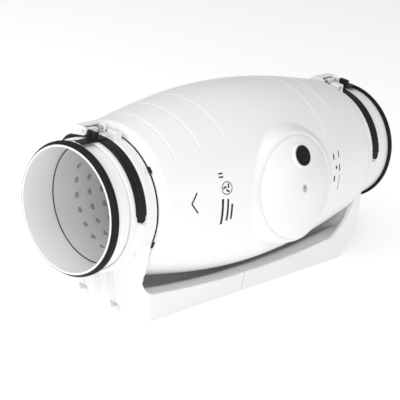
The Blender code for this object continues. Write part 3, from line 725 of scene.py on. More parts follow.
def foot_end(end, z):
    """How far a foot's end face stands from the middle at a height: the inlet's is fuller."""
    if end == "outlet":
        lean = FOOT_TOP_END - FOOT_BOTTOM_END
        return FOOT_TOP_END - lean * (1 - z / AXIS_Z) ** 2.2
    bulge = INLET_FOOT_BULGE * sin(pi * min(z / INLET_FOOT_BULGE_HEIGHT, 1))
    tuck = INLET_FOOT_TUCK * max(0, 1 - z / INLET_FOOT_TUCK_HEIGHT) ** 2
    return FOOT_TOP_END + bulge - tuck


def rail_lift(x):
    """The rails sag: how much higher they stand at a distance from the middle."""
    return RAIL_SAG * x * x


def base_plan(end, side, z):
    """The base half's outline at a height: square at the seam, round at the foot's corners."""
    seam = BASE_SEAM_X + side * BASE_SEAM_HALF
    width = BASE_HALF_WIDTH + (YOKE_FLANGE_RADIUS - BASE_HALF_WIDTH) * z / AXIS_Z
    radius = FOOT_CORNERS[end]
    back = arc((foot_end(end, z) - radius, width - radius), radius, 90, 0, 14)
    front = [(x, -y) for x, y in reversed(back)]
    curve = [(side * x, AXIS_Y + y, z) for x, y in back + front]
    return [(seam, AXIS_Y + width, z)] + curve + [(seam, AXIS_Y - width, z)]


def trough_section(x):
    """The hollow between the rails and over their tops, at one place along the base."""
    top = RAIL_TOP + rail_lift(x)
    front = [
        (-RAIL_WALL_Y, 0.07), (-RAIL_WALL_Y, top - 0.0012), (-RAIL_WALL_Y + 0.004, top),
        (-RAIL_INNER_Y - 0.009, top), (-RAIL_INNER_Y - 0.003, top - 0.0022),
        (-RAIL_INNER_Y, top - 0.007), (-RAIL_INNER_Y, FLOOR),
    ]
    back = [(-y, z) for y, z in reversed(front)]
    return [(x, AXIS_Y + y, z) for y, z in front + back]


def yoke_solids(side):
    """What joins the base half's body: the disc round the collar, and the lug on its top."""
    rise = [
        (0.2165 - 0.007 * i / 8, YOKE_RADIUS + 0.0027 * smooth_step(i / 8)) for i in range(9)
    ]
    disc = [
        (YOKE_START, 0.02), (YOKE_START, YOKE_RADIUS - 0.0006), (YOKE_START - 0.0006, YOKE_RADIUS),
        *rise, (YOKE_END - 0.009, YOKE_FLANGE_RADIUS), (YOKE_END - 0.009, 0.02),
    ]
    lug = rounded([(-0.0135, 0.07), (-0.0135, 0.0885), (0.0005, 0.0885), (0.0005, 0.07)], 0.0012)
    lug_x = sorted((side * 0.205, side * 0.1932))
    return [
        lathe(at_side(side, disc), 144, start=1.7),
        prism(lug, duct_section, *lug_x),
    ]


def base_cuts(end, side):
    """The side openings, the room for the casing and collar, the trough and the strap's channel."""
    past_seam = BASE_SEAM_X - side * 0.012
    rail_places = [0.03 + 0.01 * i for i in range(13)]
    rail = [(x, RAIL_HEIGHT + rail_lift(x)) for x in rail_places]
    yoke = [(YOKE_END, 0.094), (YOKE_END, 0.3)]
    opening = [
        (past_seam, RAIL_HEIGHT), *at_side(side, rail + OPENING_CORNERS[end] + yoke),
        (past_seam, 0.3),
    ]
    clear_x = YOKE_END + 0.0002
    clearance = [
        (clear_x, 0.01), (clear_x, 0.085), (0.186, 0.0915), (0.15, 0.101), (0.15, 0.01)
    ]
    bore = [(0.232, 0.0), (0.232, YOKE_BORE), (0.18, YOKE_BORE), (0.18, 0.0)]
    trough_places = [past_seam] + [side * x for x in rail_places] + [side * TROUGH_ENDS[end]]
    channel = ring_profile(side, STRAP_SPAN[0] + 0.0006, STRAP_SPAN[1] - 0.0004, YOKE_RADIUS, 0.086)
    cuts = [
        prism(opening, base_side, -0.095, 0.095),
        lathe(at_side(side, clearance), 120, start=0.9),
        lathe(at_side(side, bore), 128, closed=False),
        skinned([trough_section(x) for x in trough_places]),
        lathe(channel, 100, 3.8, 172.4),
    ]
    if end == "inlet":
        pocket = [(-0.015, 0.0812), (-0.015, 0.086), (-0.004, 0.086), (-0.004, 0.0812)]
        pocket_x = sorted((side * 0.2032, side * 0.1955))
        cuts.append(prism(rounded(pocket, 0.0008), duct_section, *pocket_x))
    return cuts


def foot_cuts(end, side, row):
    """The cavity, notch, wall slot and corner scoop in the front (-1) or back (1) row."""
    cavity_x = sorted((BASE_SEAM_X + side * 0.012, side * 0.158))
    cavity_y = sorted((row * 0.049, row * 0.0665))
    notch_x = sorted((side * NOTCH_STARTS[end], side * NOTCH_STOP))
    low_y, high_y = sorted(row * y for y in NOTCH_Y)
    arch = [(low_y, -0.001), (low_y, NOTCH_HEIGHT), (high_y, NOTCH_HEIGHT), (high_y, -0.001)]
    slot_x, slot_y = side * WALL_SLOT_MIDDLE[0], row * WALL_SLOT_MIDDLE[1]
    half_x, half_y = WALL_SLOT_HALF
    cuts = [
        block((cavity_x[0], cavity_y[0], -0.001), (cavity_x[1], cavity_y[1], 0.015)),
        prism(rounded(arch, 0.0025), base_section, *notch_x),
        block(
            (slot_x - half_x, slot_y - half_y, -0.001),
            (slot_x + half_x, slot_y + half_y, FLOOR + 0.001),
        ),
    ]
    if end == "outlet":
        scoop_low = (side * 0.18, AXIS_Y + row * 0.07, 0.012)
        scoop_high = (side * 0.206, AXIS_Y + row * 0.0775, 0.104)
        cuts.append(rod(scoop_low, scoop_high, 0.003, 0.0085, 32))
    return cuts


def base_half(end, side):
    body = skinned([base_plan(end, side, AXIS_Z * i / 26) for i in range(27)])
    joins = yoke_solids(side)
    cuts = base_cuts(end, side)
    for row in (-1, 1):
        cuts += foot_cuts(end, side, row)
    bottom, top = GROOVE_HEIGHTS
    for y in GROOVE_Y:
        low = (side * (foot_end(end, bottom) + 0.0008), AXIS_Y + y, bottom)
        high = (side * (foot_end(end, top) - 0.0002), AXIS_Y + y, top)
        cuts.append(rod(low, high, *GROOVE_RADII, 28))
    return carved(body, cuts, joins, voxel=0.0009, smoothing=5)


for end, side in ENDS.items():
    half = base_half(end, side)
    new_piece(f"{end}_base", half, BASE_WHITE, f"{end}_base_half", sharp=60)

# ---- duct ends

HOLE_RADIUS = 0.0039
HOLES_ROUND = 24
HOLE_PITCH = 0.02
HOLE_ROWS = 6
HOLE_STEPS = 16
HOLE_ANGLES = [2 * pi * (step + 0.5) / HOLE_STEPS for step in range(HOLE_STEPS)]
FIRST_HOLE_X = 0.173
FIRST_HOLE_DEG = -161.0
# Each hole stands in a square cell of wall; its ring of wall points has these shares of the way out
CELL_HALF_X = HOLE_PITCH / 2
CELL_DEG = 360 / HOLES_ROUND
CELL_SHARES = (0.0, 0.35, 1.0)
CELL_CORNERS = ((1, 1), (-1, 1), (-1, -1), (1, -1))


def cell_points(x_middle, turn_middle, share):
    """The wall's points round a hole, from the hole's edge (0) to the cell's edge (1)."""
    mean = (LINER_RADII[0] + LINER_RADII[1]) / 2
    made = []
    for angle in HOLE_ANGLES:
        a, b = cos(angle), sin(angle)
        stretch = 1 / max(abs(a), abs(b))
        hole_x, hole_turn = a * HOLE_RADIUS, arc_degrees(b * HOLE_RADIUS, mean)
        edge_x, edge_turn = a * stretch * CELL_HALF_X, b * stretch * (CELL_DEG / 2)
        x = x_middle + hole_x + (edge_x - hole_x) * share
        made.append((x, turn_middle + hole_turn + (edge_turn - hole_turn) * share))
    return made


def plain_turns():
    """Where the outermost cells' points lie round the duct."""
    shares = {-1.0, 1.0}
    for angle in HOLE_ANGLES:
        a, b = cos(angle), sin(angle)
        if abs(a) >= abs(b):
            shares.add(round(b / abs(a), 9))
    middles = [FIRST_HOLE_DEG + CELL_DEG * number for number in range(HOLES_ROUND)]
    return sorted({round((m + CELL_DEG * share / 2) % 360, 7) for m in middles for share in shares})


def perforated_liner(side):
    """A thin tube with real holes: one square cell of wall round each hole."""
    bm = bmesh.new()

    def ring(points, radius):
        return [bm.verts.new(on_duct(side * x, radius, turn)) for x, turn in points]

    def cell_wall(x, turn, radius):
        rings = [ring(cell_points(x, turn, share), radius) for share in CELL_SHARES]
        bands(bm, rings)
        for corner, (a, b) in enumerate(CELL_CORNERS):
            (tip,) = ring([(x + a * CELL_HALF_X, turn + b * (CELL_DEG / 2))], radius)
            index = HOLE_STEPS // 8 + corner * HOLE_STEPS // 4
            bm.faces.new((rings[-1][index - 1], rings[-1][index % HOLE_STEPS], tip))

    for row in range(HOLE_ROWS):
        for number in range(HOLES_ROUND):
            x, turn = FIRST_HOLE_X - HOLE_PITCH * row, FIRST_HOLE_DEG + CELL_DEG * number
            for radius in LINER_RADII:
                cell_wall(x, turn, radius)
            hole = cell_points(x, turn, CELL_SHARES[0])
            bands(bm, [ring(hole, radius) for radius in LINER_RADII])
    # Plain stretches of wall beyond the holes, with the tube's two ends
    turns = plain_turns()
    first_edge = FIRST_HOLE_X + CELL_HALF_X
    last_edge = FIRST_HOLE_X - HOLE_PITCH * (HOLE_ROWS - 1) - CELL_HALF_X
    for places in ((LINER_SPAN[0], 0.2, first_edge), (last_edge, LINER_SPAN[1])):
        for radius in LINER_RADII:
            bands(bm, [ring([(x, turn) for turn in turns], radius) for x in places])
    for x in LINER_SPAN:
        bands(bm, [ring([(x, turn) for turn in turns], radius) for radius in LINER_RADII])
    bmesh.ops.remove_doubles(bm, verts=bm.verts, dist=2e-6)
    return finished(bm)


near, far = GASKET_SPAN
GASKET_LIP = [
    (near, SPIGOT_OUTER + GAP), (near, SPIGOT_OUTER + GAP + 0.0003),
    (near - 0.0022, GASKET_OUTER - 0.0016), (near - 0.0046, GASKET_OUTER),
    (near - 0.0058, GASKET_OUTER), (near - 0.0062, GASKET_OUTER - 0.0005),
    (near - 0.0068, GASKET_OUTER - 0.0005), (near - 0.0072, GASKET_OUTER),
    (far, GASKET_OUTER), (far, SPIGOT_OUTER + GAP),
]
near, far = CLIP_SPAN
clip_inner = SEAL_RADII[1] + GAP
CLIP_HOOK = [
    (near, clip_inner), (near, clip_inner + 0.0022), (far - 0.0006, clip_inner + 0.0022),
    (far, clip_inner + 0.001), (far, clip_inner),
]
# The thin black bead where the liner meets the collar
LINER_BEAD = arc((LINER_SPAN[0] + 0.0006, LINER_RADII[1] - 0.0004), 0.0006, 0, 330, 11)

for end, side in ENDS.items():
    spigot = (HALF_LENGTH, SPIGOT_INNER_END, SPIGOT_INNER, SPIGOT_OUTER)
    cushion = (FAN_HALF + GAP, LINER_SPAN[1] - GAP, 0.07, 0.076)
    collar = ring_profile(side, *spigot, 0.0009, 4)
    rings = {
        "collar": (collar, 160, SHELL_WHITE, f"{end}_spigot"),
        "gasket": (rounded(at_side(side, GASKET_LIP), 0.0004), 160, RUBBER, f"{end}_mouth_gasket"),
        "seal": (ring_profile(side, *SEAL_SPAN, *SEAL_RADII), 144, RUBBER, f"{end}_casing_seal"),
        "liner_bead": (at_side(side, LINER_BEAD), 144, RUBBER, None),
        "cushion_ring": (ring_profile(side, *cushion), 120, RUBBER, f"{end}_rubber_mount"),
    }
    for part, (profile, steps, look, node) in rings.items():
        new_piece(f"{end}_{part}", lathe(profile, steps), look, node)
    liner = perforated_liner(side)
    new_piece(f"{end}_liner", liner, INNER_WHITE, f"{end}_perforated_liner")
    for place, turn in CLIP_TURNS.items():
        hook = lathe(rounded(at_side(side, CLIP_HOOK), 0.0005), 8, turn - 2.6, 5.2)
        new_piece(f"{end}_{place}_hook", hook, NYLON, f"{end}_{place}_clip")

# ---- fan unit

BLADE_COUNT = 7
BLADE_SPAN = (0.0085, 0.0335)
BLADE_TWIST_DEG = 42
BLADE_THICKNESS = 0.0018
VANE_COUNT = 9
VANE_SPAN = (-0.01, -0.05)
VANE_TWIST_DEG = 24
VANE_THICKNESS = 0.002


def housing_inner(x):
    """Inner radius of the cone round the impeller."""
    if x < 0.02:
        return 0.08 - 0.006 * x / 0.02
    return 0.074 - 0.0135 * (x - 0.02) / 0.018


def hub_radius(x):
    return 0.0545 - 0.034 * ((x - 0.006) / 0.03) ** 1.6 if x > 0.006 else 0.0545


def blade_root(x):
    return hub_radius(x) - 0.003


def blade_tip(x):
    return housing_inner(x) - 0.003


def vane_root(x):
    return 0.054 + 0.008 * (x + 0.004) / 0.054 - 0.0022


def vane_tip(x):
    return 0.08 + 0.0105 * (x + 0.002) / 0.06 + 0.0012


def blade(first_turn, span, root, tip, twist, thickness):
    """A twisted blade with thinned edges, as a closed solid."""
    rows, columns = 16, 7
    bm = bmesh.new()
    grids = []
    for face in (-1, 1):
        grid = []
        for i in range(rows):
            share = i / (rows - 1)
            x = span[0] + (span[1] - span[0]) * share
            turn = first_turn + twist * share
            edge = sqrt(max(0.06, 1 - (2 * share - 1) ** 4))
            line = []
            for j in range(columns):
                radius = root(x) + (tip(x) - root(x)) * j / (columns - 1)
                skew = arc_degrees(face * thickness / 2 * edge, radius)
                line.append(bm.verts.new(on_duct(x, radius, turn + skew)))
            grid.append(line)
        grids.append(grid)
        bands(bm, grid, closed=False)
    low, high = grids
    for i in range(rows - 1):
        for j in (0, columns - 1):
            bm.faces.new((low[i][j], low[i + 1][j], high[i + 1][j], high[i][j]))
    for j in range(columns - 1):
        for i in (0, rows - 1):
            bm.faces.new((low[i][j], low[i][j + 1], high[i][j + 1], high[i][j]))
    return closed_mesh(bm)


def blades(count, *shape):
    return [blade(360 * number / count, *shape) for number in range(count)]


hub = [
    (0.0355, SHAFT_RADIUS + GAP), (0.0355, 0.01), (0.0348, 0.017), (0.0334, 0.024),
    (0.031, 0.031), (0.0276, 0.0375), (0.023, 0.0435), (0.0176, 0.0484), (0.0116, 0.0522),
    (0.006, 0.0545), (0.006, 0.052), (0.017, 0.0455), (0.0265, 0.035), (0.031, 0.022),
    (0.0325, 0.008), (0.0095, 0.008), (0.0095, SHAFT_RADIUS + GAP),
]
impeller_blades = blades(
    BLADE_COUNT, BLADE_SPAN, blade_root, blade_tip, BLADE_TWIST_DEG, BLADE_THICKNESS
)
impeller = carved(lathe(hub, 96), joins=impeller_blades)
new_piece("impeller_moulding", impeller, GREY_NYLON, "impeller", "rotor")

guide_hub = [
    (-0.004, 0.054), (-0.058, 0.046), (-0.058, 0.0435), (-0.033, 0.0447),
    (-0.033, 0.012), (-0.042, 0.012), (-0.042, BEARING_RADIUS + GAP),
    (0.004, BEARING_RADIUS + GAP), (0.004, 0.012), (-0.03, 0.012), (-0.03, 0.0449),
    (-0.004, 0.0515),
]
vane_ring = [
    (-FAN_HALF, 0.0695), (-0.002, 0.08), (-0.002, 0.084), (-0.006, 0.084),
    (-0.008, 0.0815), (-FAN_HALF, 0.072),
]
vanes = blades(VANE_COUNT, VANE_SPAN, vane_root, vane_tip, VANE_TWIST_DEG, VANE_THICKNESS)
guide = carved(
    lathe(rounded(guide_hub, 0.0004, 2), 96),
    joins=[lathe(rounded(vane_ring, 0.0004, 2), 120), *vanes],
)
new_piece("guide_vanes", guide, INNER_WHITE, "guide_vane_unit")

shroud = [
    (-0.0017, 0.08), (0.02, 0.074), (0.038, 0.0605), (0.038, 0.07), (0.035, 0.07),
    (0.035, 0.0655), (0.0215, 0.0765), (0.003, 0.0815), (0.003, 0.084), (-0.0017, 0.084),
]
bell = [
    (0.0383, 0.0605), (0.044, 0.0608), (0.052, 0.063), (0.059, 0.0672), (FAN_HALF, 0.07),
    (FAN_HALF, 0.076), (0.06, 0.076), (0.0575, 0.0695), (0.05, 0.0655), (0.0415, 0.0635),
    (0.0415, 0.07), (0.0383, 0.07),
]
tail = [
    (-0.072, 0.0), (-0.0716, 0.012), (-0.0702, 0.023), (-0.068, 0.0305), (-0.0645, 0.037),
    (-0.0583, 0.043), (-0.0583, 0.0457), (-0.0628, 0.0426), (-0.0664, 0.0385),
    (-0.0698, 0.032), (-0.0722, 0.024), (-0.0736, 0.013), (-0.074, 0.0),
]
fan_rings = {
    "impeller_shroud": ("impeller_housing", lathe(rounded(shroud, 0.001, 4))),
    "inlet_bell": ("inlet_nozzle", lathe(rounded(bell, 0.001, 4))),
    "tail_fairing": ("tail_cone", lathe(tail, 96, closed=False)),
}
for name, (node, mesh) in fan_rings.items():
    new_piece(name, mesh, INNER_WHITE, node)

# ---- wiring cover

rhos = [COVER_RADIUS * i / 22 for i in range(22, 1, -1)]
inner_rhos = [0.0066, 0.012, 0.018, 0.027, 0.036, 0.043, 0.05, 0.0545, 0.058]
recess_rim = dome_height(RECESS_RADIUS)
cover = [
    (0.0, COVER_RADIUS - 0.0003), (0.0004, COVER_RADIUS), (0.0014, COVER_RADIUS),
    *[(dome_height(rho) - (0.0003 if rho == COVER_RADIUS else 0), rho - 0.0002) for rho in rhos],
    (recess_rim - 0.0001, RECESS_RADIUS + 0.0006), (recess_rim - 0.0006, RECESS_RADIUS),
    (RECESS_FLOOR, RECESS_RADIUS), (RECESS_FLOOR, SCREW_CLEAR),
    (RECESS_FLOOR - 0.002, SCREW_CLEAR), (RECESS_FLOOR - 0.002, RECESS_RADIUS + 0.002),
    *[(dome_height(rho, COVER_WALL), rho) for rho in inner_rhos],
    (0.0, COVER_RADIUS - COVER_WALL),
]

gland_rho = hypot(GLAND_OFFSET, GLAND_SIDE)
gland_turn = atan2(GLAND_OFFSET, GLAND_SIDE) * 180 / pi
gland_seat = on_cover(dome_height(gland_rho), gland_rho, gland_turn)
gland_out = (gland_seat - on_cover(-DOME_DEPTH, 0, 0)).normalized()
gland_right = (COVER_RIGHT - gland_out * COVER_RIGHT.dot(gland_out)).normalized()
on_gland = places_about(gland_seat, gland_out, gland_right, gland_out.cross(gland_right))
gland_neck = GLAND_RADIUS - 0.0013
hole = [(-0.012, 0.0), (-0.012, gland_neck + GAP), (0.012, gland_neck + GAP), (0.012, 0.0)]
collar = [
    (-0.0015, gland_neck - 0.001), (0.0006, gland_neck - 0.001), (0.0008, GLAND_RADIUS + 0.0006),
    (0.0004, GLAND_RADIUS + 0.002), (-0.0005, GLAND_RADIUS + 0.0034),
    (-0.0015, GLAND_RADIUS + 0.0036),
]
dome = carved(
    lathe(cover, 160, place=on_cover),
    cuts=[lathe(hole, 64, closed=False, place=on_gland)],
    joins=[lathe(rounded(collar, 0.0004), 80, place=on_gland)],
)
new_piece("wiring_cover_dome", dome, SHELL_WHITE, "wiring_cover", "wiring_lid")

gland = [
    (-0.0055, 0.0), (-0.0055, gland_neck - 0.001), (-0.0045, gland_neck), (0.001, gland_neck),
    (0.001, GLAND_RADIUS - 0.0002), (0.0014, GLAND_RADIUS), (0.0022, GLAND_RADIUS - 0.0002),
    (0.0027, GLAND_RADIUS - 0.0012), (0.0025, GLAND_RADIUS - 0.0028), (0.0021, 0.0085),
    (0.0023, 0.0068), (0.003, 0.0062), (0.0034, 0.005), (0.0034, 0.003), (0.003, 0.0018),
    (0.0029, 0.0),
]
grommet = lathe(gland, 96, closed=False, place=on_gland)
new_piece("gland_grommet", grommet, RUBBER, "cable_gland", "wiring_lid")

seat = RECESS_FLOOR + GAP
screw = [
    (-0.015, 0.0), (-0.015, 0.0012), (-0.0146, 0.0014), (seat, 0.0014), (seat, 0.0033),
    (seat + 0.0003, 0.0034), (seat + 0.0009, 0.0033), (seat + 0.0014, 0.0028),
    (seat + 0.0017, 0.0018), (seat + 0.0018, 0.0),
]
cross = []
for turn in (25, 115):
    along = on_cover(0, 0.0021, turn) - COVER_CENTRE
    across = on_cover(0, 0.00035, turn + 90) - COVER_CENTRE
    outline = [along + across, along - across, -along - across, -along + across]
    bm = bmesh.new()
    for height in (seat + 0.0006, seat + 0.003):
        bm.faces.new([bm.verts.new(COVER_CENTRE + COVER_OUT * height + point) for point in outline])
    bmesh.ops.bridge_loops(bm, edges=bm.edges)
    cross.append(closed_mesh(bm))
screw_head = carved(lathe(screw, 48, closed=False, place=on_cover), cuts=cross)
new_piece("cover_screw_detail", screw_head, STEEL, "cover_screw", "wiring_lid")

# ---- straps and latches

STRAP_MIDDLE = sum(STRAP_SPAN) / 2
STRAP_HALF = (STRAP_SPAN[0] - STRAP_SPAN[1]) / 2
# Shares of the half width and of the height: an outer edge that slopes, and two grooves
STRAP_SECTION = [
    (-1.00, 0.12), (-0.94, 0.0), (0.94, 0.0), (1.00, 0.1), (1.00, 0.22), (0.64, 1.0),
    (0.5, 1.0), (0.44, 0.72), (0.08, 0.72), (0.00, 1.0), (-0.22, 1.0), (-0.3, 0.72),
    (-0.66, 0.72), (-0.72, 1.0), (-0.95, 1.0), (-1.00, 0.78),
]
METRES_PER_DEG = STRAP_RADII[0] * pi / 180
LATCH_PIN_Y = -LATCH_PIN_AT * cos(radians(LATCH_PIN_DEG))
LATCH_PIN_Z = LATCH_PIN_AT * sin(radians(LATCH_PIN_DEG))
LATCH_PLATE = [
    (0.014, 0.079), *arc((LATCH_PIN_Y, LATCH_PIN_Z), 0.0048, 215, 90, 10),
    (0.025, 0.0884), (0.0318, 0.0866), (0.0345, 0.0832), (0.0354, 0.0738),
]
LATCH_CHANNEL = [
    (0.0000, 0.095), (0.0000, 0.06), (0.0318, 0.06), (0.0318, 0.08), (0.0285, 0.083),
    (0.0215, 0.0854), (0.0215, 0.095),
]
CATCH = [
    (0.2275, 0.0776), (0.2275, 0.0872), (0.2266, 0.0885), (0.2232, 0.0885), (0.2217, 0.0874),
    (0.2217, 0.0776),
]
TAB = [(0.2447, 0.0775), (0.2447, 0.079), (0.228, 0.0796), (0.207, 0.0796), (0.207, 0.0775)]


def tongue(turn, end_turn):
    """A strap end's width: a narrower round-tipped tongue, then a short taper to full width."""
    along = abs(turn - end_turn) * METRES_PER_DEG
    tip = min(1.0, along / 0.0038)
    narrow = 0.78 * sqrt(max(0.02, 1 - (1 - tip) ** 2))
    return narrow + (1 - narrow) * smooth_step((along - 0.007) / 0.0012)


def strap(side, span, tongue_at, rise):
    """A moulded band with raised edges and a middle rib, thickened by rise towards the latch."""
    inner, outer = STRAP_RADII
    start, stop = span
    count = round((stop - start) / 0.9)
    sections = []
    for step in range(count + 1):
        turn = start + (stop - start) * step / count
        width = STRAP_HALF * tongue(turn, tongue_at)
        height = outer - inner + rise * smooth_step((138 - turn) / 12)
        places = [(STRAP_MIDDLE + a * width, inner + b * height) for a, b in STRAP_SECTION]
        sections.append([on_duct(side * x, radius, turn) for x, radius in places])
    return skinned(sections)


def latch_pin_hole(side):
    places = (LATCH_SPAN[0] + 0.001, LATCH_SPAN[1] - 0.001)
    ends = [on_duct(side * x, LATCH_PIN_AT, LATCH_PIN_DEG) for x in places]
    return rod(*ends, LATCH_PIN_RADIUS)


def latch_lever(side):
    """A flat lever over the rear strap: a fork at its pin, a plate with ribs and a finger lip."""
    near, far = LATCH_SPAN
    plate_x = sorted((side * near, side * far))
    lever = prism(rounded(LATCH_PLATE, 0.0012, 3), duct_section, *plate_x)
    inner_x = sorted((side * (near - 0.003), side * (far + 0.003)))
    cuts = [prism(LATCH_CHANNEL, duct_section, *inner_x)]
    # Three shallow finger grooves across the plate
    for y in (0.0245, 0.0275, 0.0305):
        z = AXIS_Z + 0.0892 - 0.6 * max(0.0, y - 0.026)
        ends = [(side * x, AXIS_Y + y, z) for x in (near - 0.004, far + 0.004)]
        cuts.append(rod(*ends, 0.0012, steps=20))
    cuts.append(latch_pin_hole(side))
    return carved(lever, cuts, voxel=0.00045, smoothing=3)


def hinge_block(side):
    """The white block on the back strap that the lever's pin runs through."""
    span = (STRAP_SPAN[0] - 0.0014, STRAP_SPAN[1] + 0.0014)
    profile = ring_profile(side, *span, 0.082, 0.0873, 0.0006)
    return carved(lathe(profile, 8, 98.3, 4.7), cuts=[latch_pin_hole(side)])


for end, side in ENDS.items():
    catch = rounded(at_side(side, CATCH), 0.0006)
    tab = rounded(at_side(side, TAB), 0.0005)
    slot = ring_profile(side, 0.2285, 0.2262, 0.0815, 0.0862)
    front = carved(
        strap(side, FRONT_STRAP_DEG, FRONT_STRAP_DEG[0], 0.0),
        cuts=[lathe(slot, 6, 89.2, 3.6)],
        joins=[lathe(catch, 10, 87.0, 8.0), lathe(tab, 10, 86.6, 8.8)],
    )
    back = strap(side, BACK_STRAP_DEG, BACK_STRAP_DEG[1], 0.003)
    clamp = f"{end}_back_clamp"
    new_piece(f"{end}_front_band", front, NYLON, f"{end}_front_strap", f"{end}_front_clamp", 28)
    new_piece(f"{end}_hinge_block", hinge_block(side), SHELL_WHITE, body=clamp)
    new_piece(f"{end}_back_band", back, NYLON, f"{end}_back_strap", clamp, 28)
    lever = latch_lever(side)
    new_piece(f"{end}_lever_plate", lever, SHELL_WHITE, f"{end}_latch", f"{end}_lever", 45)

# ---- printed marks

INK_HEIGHT = 0.00012
INK_DEPTH = 0.0003
INK_SECTION = ((-1, INK_HEIGHT), (1, INK_HEIGHT), (1, -INK_DEPTH), (-1, -INK_DEPTH))


def on_casing(u, degrees, height):
    point = casing_outer(u, degrees, *CASING_HALVES["front"])
    return point + (point - Vector((point.x, AXIS_Y, AXIS_Z))).normalized() * height


def stripe(bm, points, width):
    """A thin raised band along (u, degrees) points on the casing."""
    flat = [Vector((u, arc_length(turn, casing_radius(u)))) for u, turn in points]
    sections = []
    for index, middle in enumerate(flat):
        before = flat[max(index - 1, 0)]
        after = flat[min(index + 1, len(flat) - 1)]
        along = (after - before).normalized()
        across = Vector((-along.y, along.x)) * width / 2
        section = []
        for share, height in INK_SECTION:
            place = middle + across * share
            turn = arc_degrees(place.y, casing_radius(place.x))
            section.append(on_casing(place.x, turn, height))
        sections.append(section)
    skin(bm, sections)


def line(start, stop, steps=10):
    return [
        (start[0] + (stop[0] - start[0]) * i / steps, start[1] + (stop[1] - start[1]) * i / steps)
        for i in range(steps + 1)
    ]


def bars(table):
    """Stripes round the casing from (u, first degrees, last degrees, steps, width) rows."""
    return [(line((u, low), (u, high), steps), width) for u, low, high, steps, width in table]


def mark(name, stripes):
    bm = bmesh.new()
    for points, width in stripes:
        stripe(bm, points, width)
    new_piece(name, finished(bm), INK)


CHEVRON_TIP = (-0.1517, 13.9)
CHEVRON_ENDS = [(-0.1435, 20.7), (-0.1431, 6.9)]
mark("airflow_chevron", [(line(CHEVRON_TIP, place), 0.0018) for place in CHEVRON_ENDS])

SYMBOL_CENTRE = (-0.1017, 19.6)
SYMBOL_RADIUS = 0.0072


def round_symbol(radius, turn):
    """A point at a distance and angle from the fan symbol's centre, as (u, degrees)."""
    centre_u, centre_deg = SYMBOL_CENTRE
    a, b = radius * cos(radians(turn)), radius * sin(radians(turn))
    return (centre_u + a, centre_deg + arc_degrees(b, casing_radius(centre_u)))


symbol = [([round_symbol(SYMBOL_RADIUS, 10 * i) for i in range(37)], 0.0009)]
for number in range(3):
    lobe = [round_symbol(0.0012 + 0.004 * i / 8, 120 * number + 70 * i / 8) for i in range(9)]
    symbol.append((lobe, 0.002))
mark("fan_symbol", symbol)

PLAIN_BARS = [
    (-0.1078, 26.6, 27.6, 3, 0.0062),
    (-0.1078, 28.8, 29.8, 3, 0.0062),
    (-0.1085, -3.6, 13.2, 20, 0.003),
    (-0.101, -1.6, 12.6, 18, 0.0026),
    (-0.095, -1.0, 9.0, 14, 0.0026),
]
LABEL_BARS = [
    (0.092, 5.0, 8.6, 5, 0.0028),
    (0.0965, 13.0, 15.0, 3, 0.0036),
    (0.0915, 19.5, 23.5, 5, 0.0022),
    (0.1035, 20.5, 24.5, 5, 0.0018),
    (0.104, -3.0, 8.0, 12, 0.0008),
    (0.104, 11.0, 15.5, 5, 0.002),
]
mark("plain_bars", bars(PLAIN_BARS))
mark("label_lines", bars(LABEL_BARS))

# ---- looks of the kept CAD nodes

KEPT_STEEL = [
    "base_front_screw", "base_back_screw", "motor_stator", "motor_shaft", "front_bearing",
    "back_bearing", "outlet_latch_pin", "inlet_latch_pin",
]
KEPT_LOOKS = [
    (STEEL, KEPT_STEEL),
    (SHELL_WHITE, ["wiring_box"]),
    (RUBBER, ["cover_seal"]),
    (FOAM, ["outlet_sound_insulation", "inlet_sound_insulation"]),
    (ROTOR_PAINT, ["motor_rotor"]),
    (NYLON, ["run_capacitor"]),
    (GREEN, ["terminal_block"]),
    (GREY_NYLON, ["motor_lead"]),
]
for look, nodes in KEPT_LOOKS:
    for node in nodes:
        kept = frame["nodes"][node]
        if not kept.material_slots:
            kept.data.materials.append(look)
        for slot in kept.material_slots:
            slot.link = "OBJECT"
            slot.material = look

# ---- floor, light, camera

LIT_PLACE = Vector((0, 0, 0.12))
FLOOR_HALF = 14.0
FLOOR_Z = -0.0004  # just under the feet, so that the two don't share a plane
CORNERS = [(-1, -1), (1, -1), (1, 1), (-1, 1)]


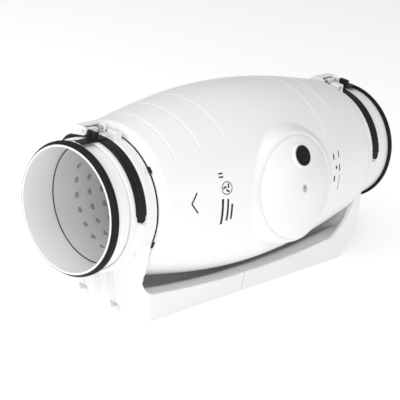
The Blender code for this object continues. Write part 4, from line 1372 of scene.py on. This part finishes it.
def studio_floor():
    graph = Graph("pale_floor")
    values = {
        "Base Color": graph.mixed(graph.noise(3.0), (0.9, 0.9, 0.9), (0.89, 0.89, 0.89)),
        "Emission Color": (1, 1, 1, 1),
        "Emission Strength": 0.33,
        "Roughness": 0.75,
    }
    graph.fill(graph.shader, values)
    mesh = bpy.data.meshes.new("floor")
    mesh.from_pydata([(FLOOR_HALF * a, FLOOR_HALF * b, 0) for a, b in CORNERS], [], [(0, 1, 2, 3)])
    mesh.materials.append(graph.material)
    floor = linked("floor", mesh)
    floor.location.z = FLOOR_Z


def soft_light(name, place, size, power):
    """A rectangular lamp turned towards the fan's middle."""
    lamp = bpy.data.lights.new(name, "AREA")
    lamp.shape = "RECTANGLE"
    lamp.size, lamp.size_y = size
    lamp.energy = power
    light = linked(name, lamp)
    light.location = place
    light.rotation_euler = (LIT_PLACE - Vector(place)).to_track_quat("-Z", "Y").to_euler()


studio_floor()
soft_light("key_light", (-1.9, -1.5, 1.1), (1.4, 1.4), 26)
soft_light("top_light", (-0.3, 0.1, 2.4), (1.8, 1.8), 14)
soft_light("mouth_light", (-1.7, 0.6, 1.1), (0.9, 0.9), 13)
soft_light("front_fill", (0.7, -2.4, 0.8), (1.6, 1.2), 8)

world = bpy.data.worlds.new("studio")
world.use_nodes = True
background = world.node_tree.nodes["Background"].inputs
background["Color"].default_value = (1, 1, 1, 1)
background["Strength"].default_value = 0.42
bpy.context.scene.world = world
bpy.context.scene.view_settings.view_transform = "Standard"

CAMERA_TARGET = Vector((-0.0286, AXIS_Y, 0.0986))
CAMERA_DISTANCE = 1.8324
CAMERA_AZIMUTH = radians(-49.83)
CAMERA_ELEVATION = radians(22.09)
CAMERA_ROLL = radians(8.91)
CAMERA_LENS = 135.33

level = cos(CAMERA_ELEVATION)
back = Vector((sin(CAMERA_AZIMUTH) * level, -cos(CAMERA_AZIMUTH) * level, sin(CAMERA_ELEVATION)))
right = (-back).cross(Vector((0, 0, 1))).normalized()
up = right.cross(-back)
rolled_right = right * cos(CAMERA_ROLL) + up * sin(CAMERA_ROLL)
rolled_up = up * cos(CAMERA_ROLL) - right * sin(CAMERA_ROLL)
lens = bpy.data.cameras.new("camera")
lens.lens = CAMERA_LENS
lens.sensor_width = 36
camera = linked("camera", lens)
turned = Matrix((rolled_right, rolled_up, back)).transposed().to_4x4()
camera.matrix_world = Matrix.Translation(CAMERA_TARGET + back * CAMERA_DISTANCE) @ turned
bpy.context.scene.camera = camera
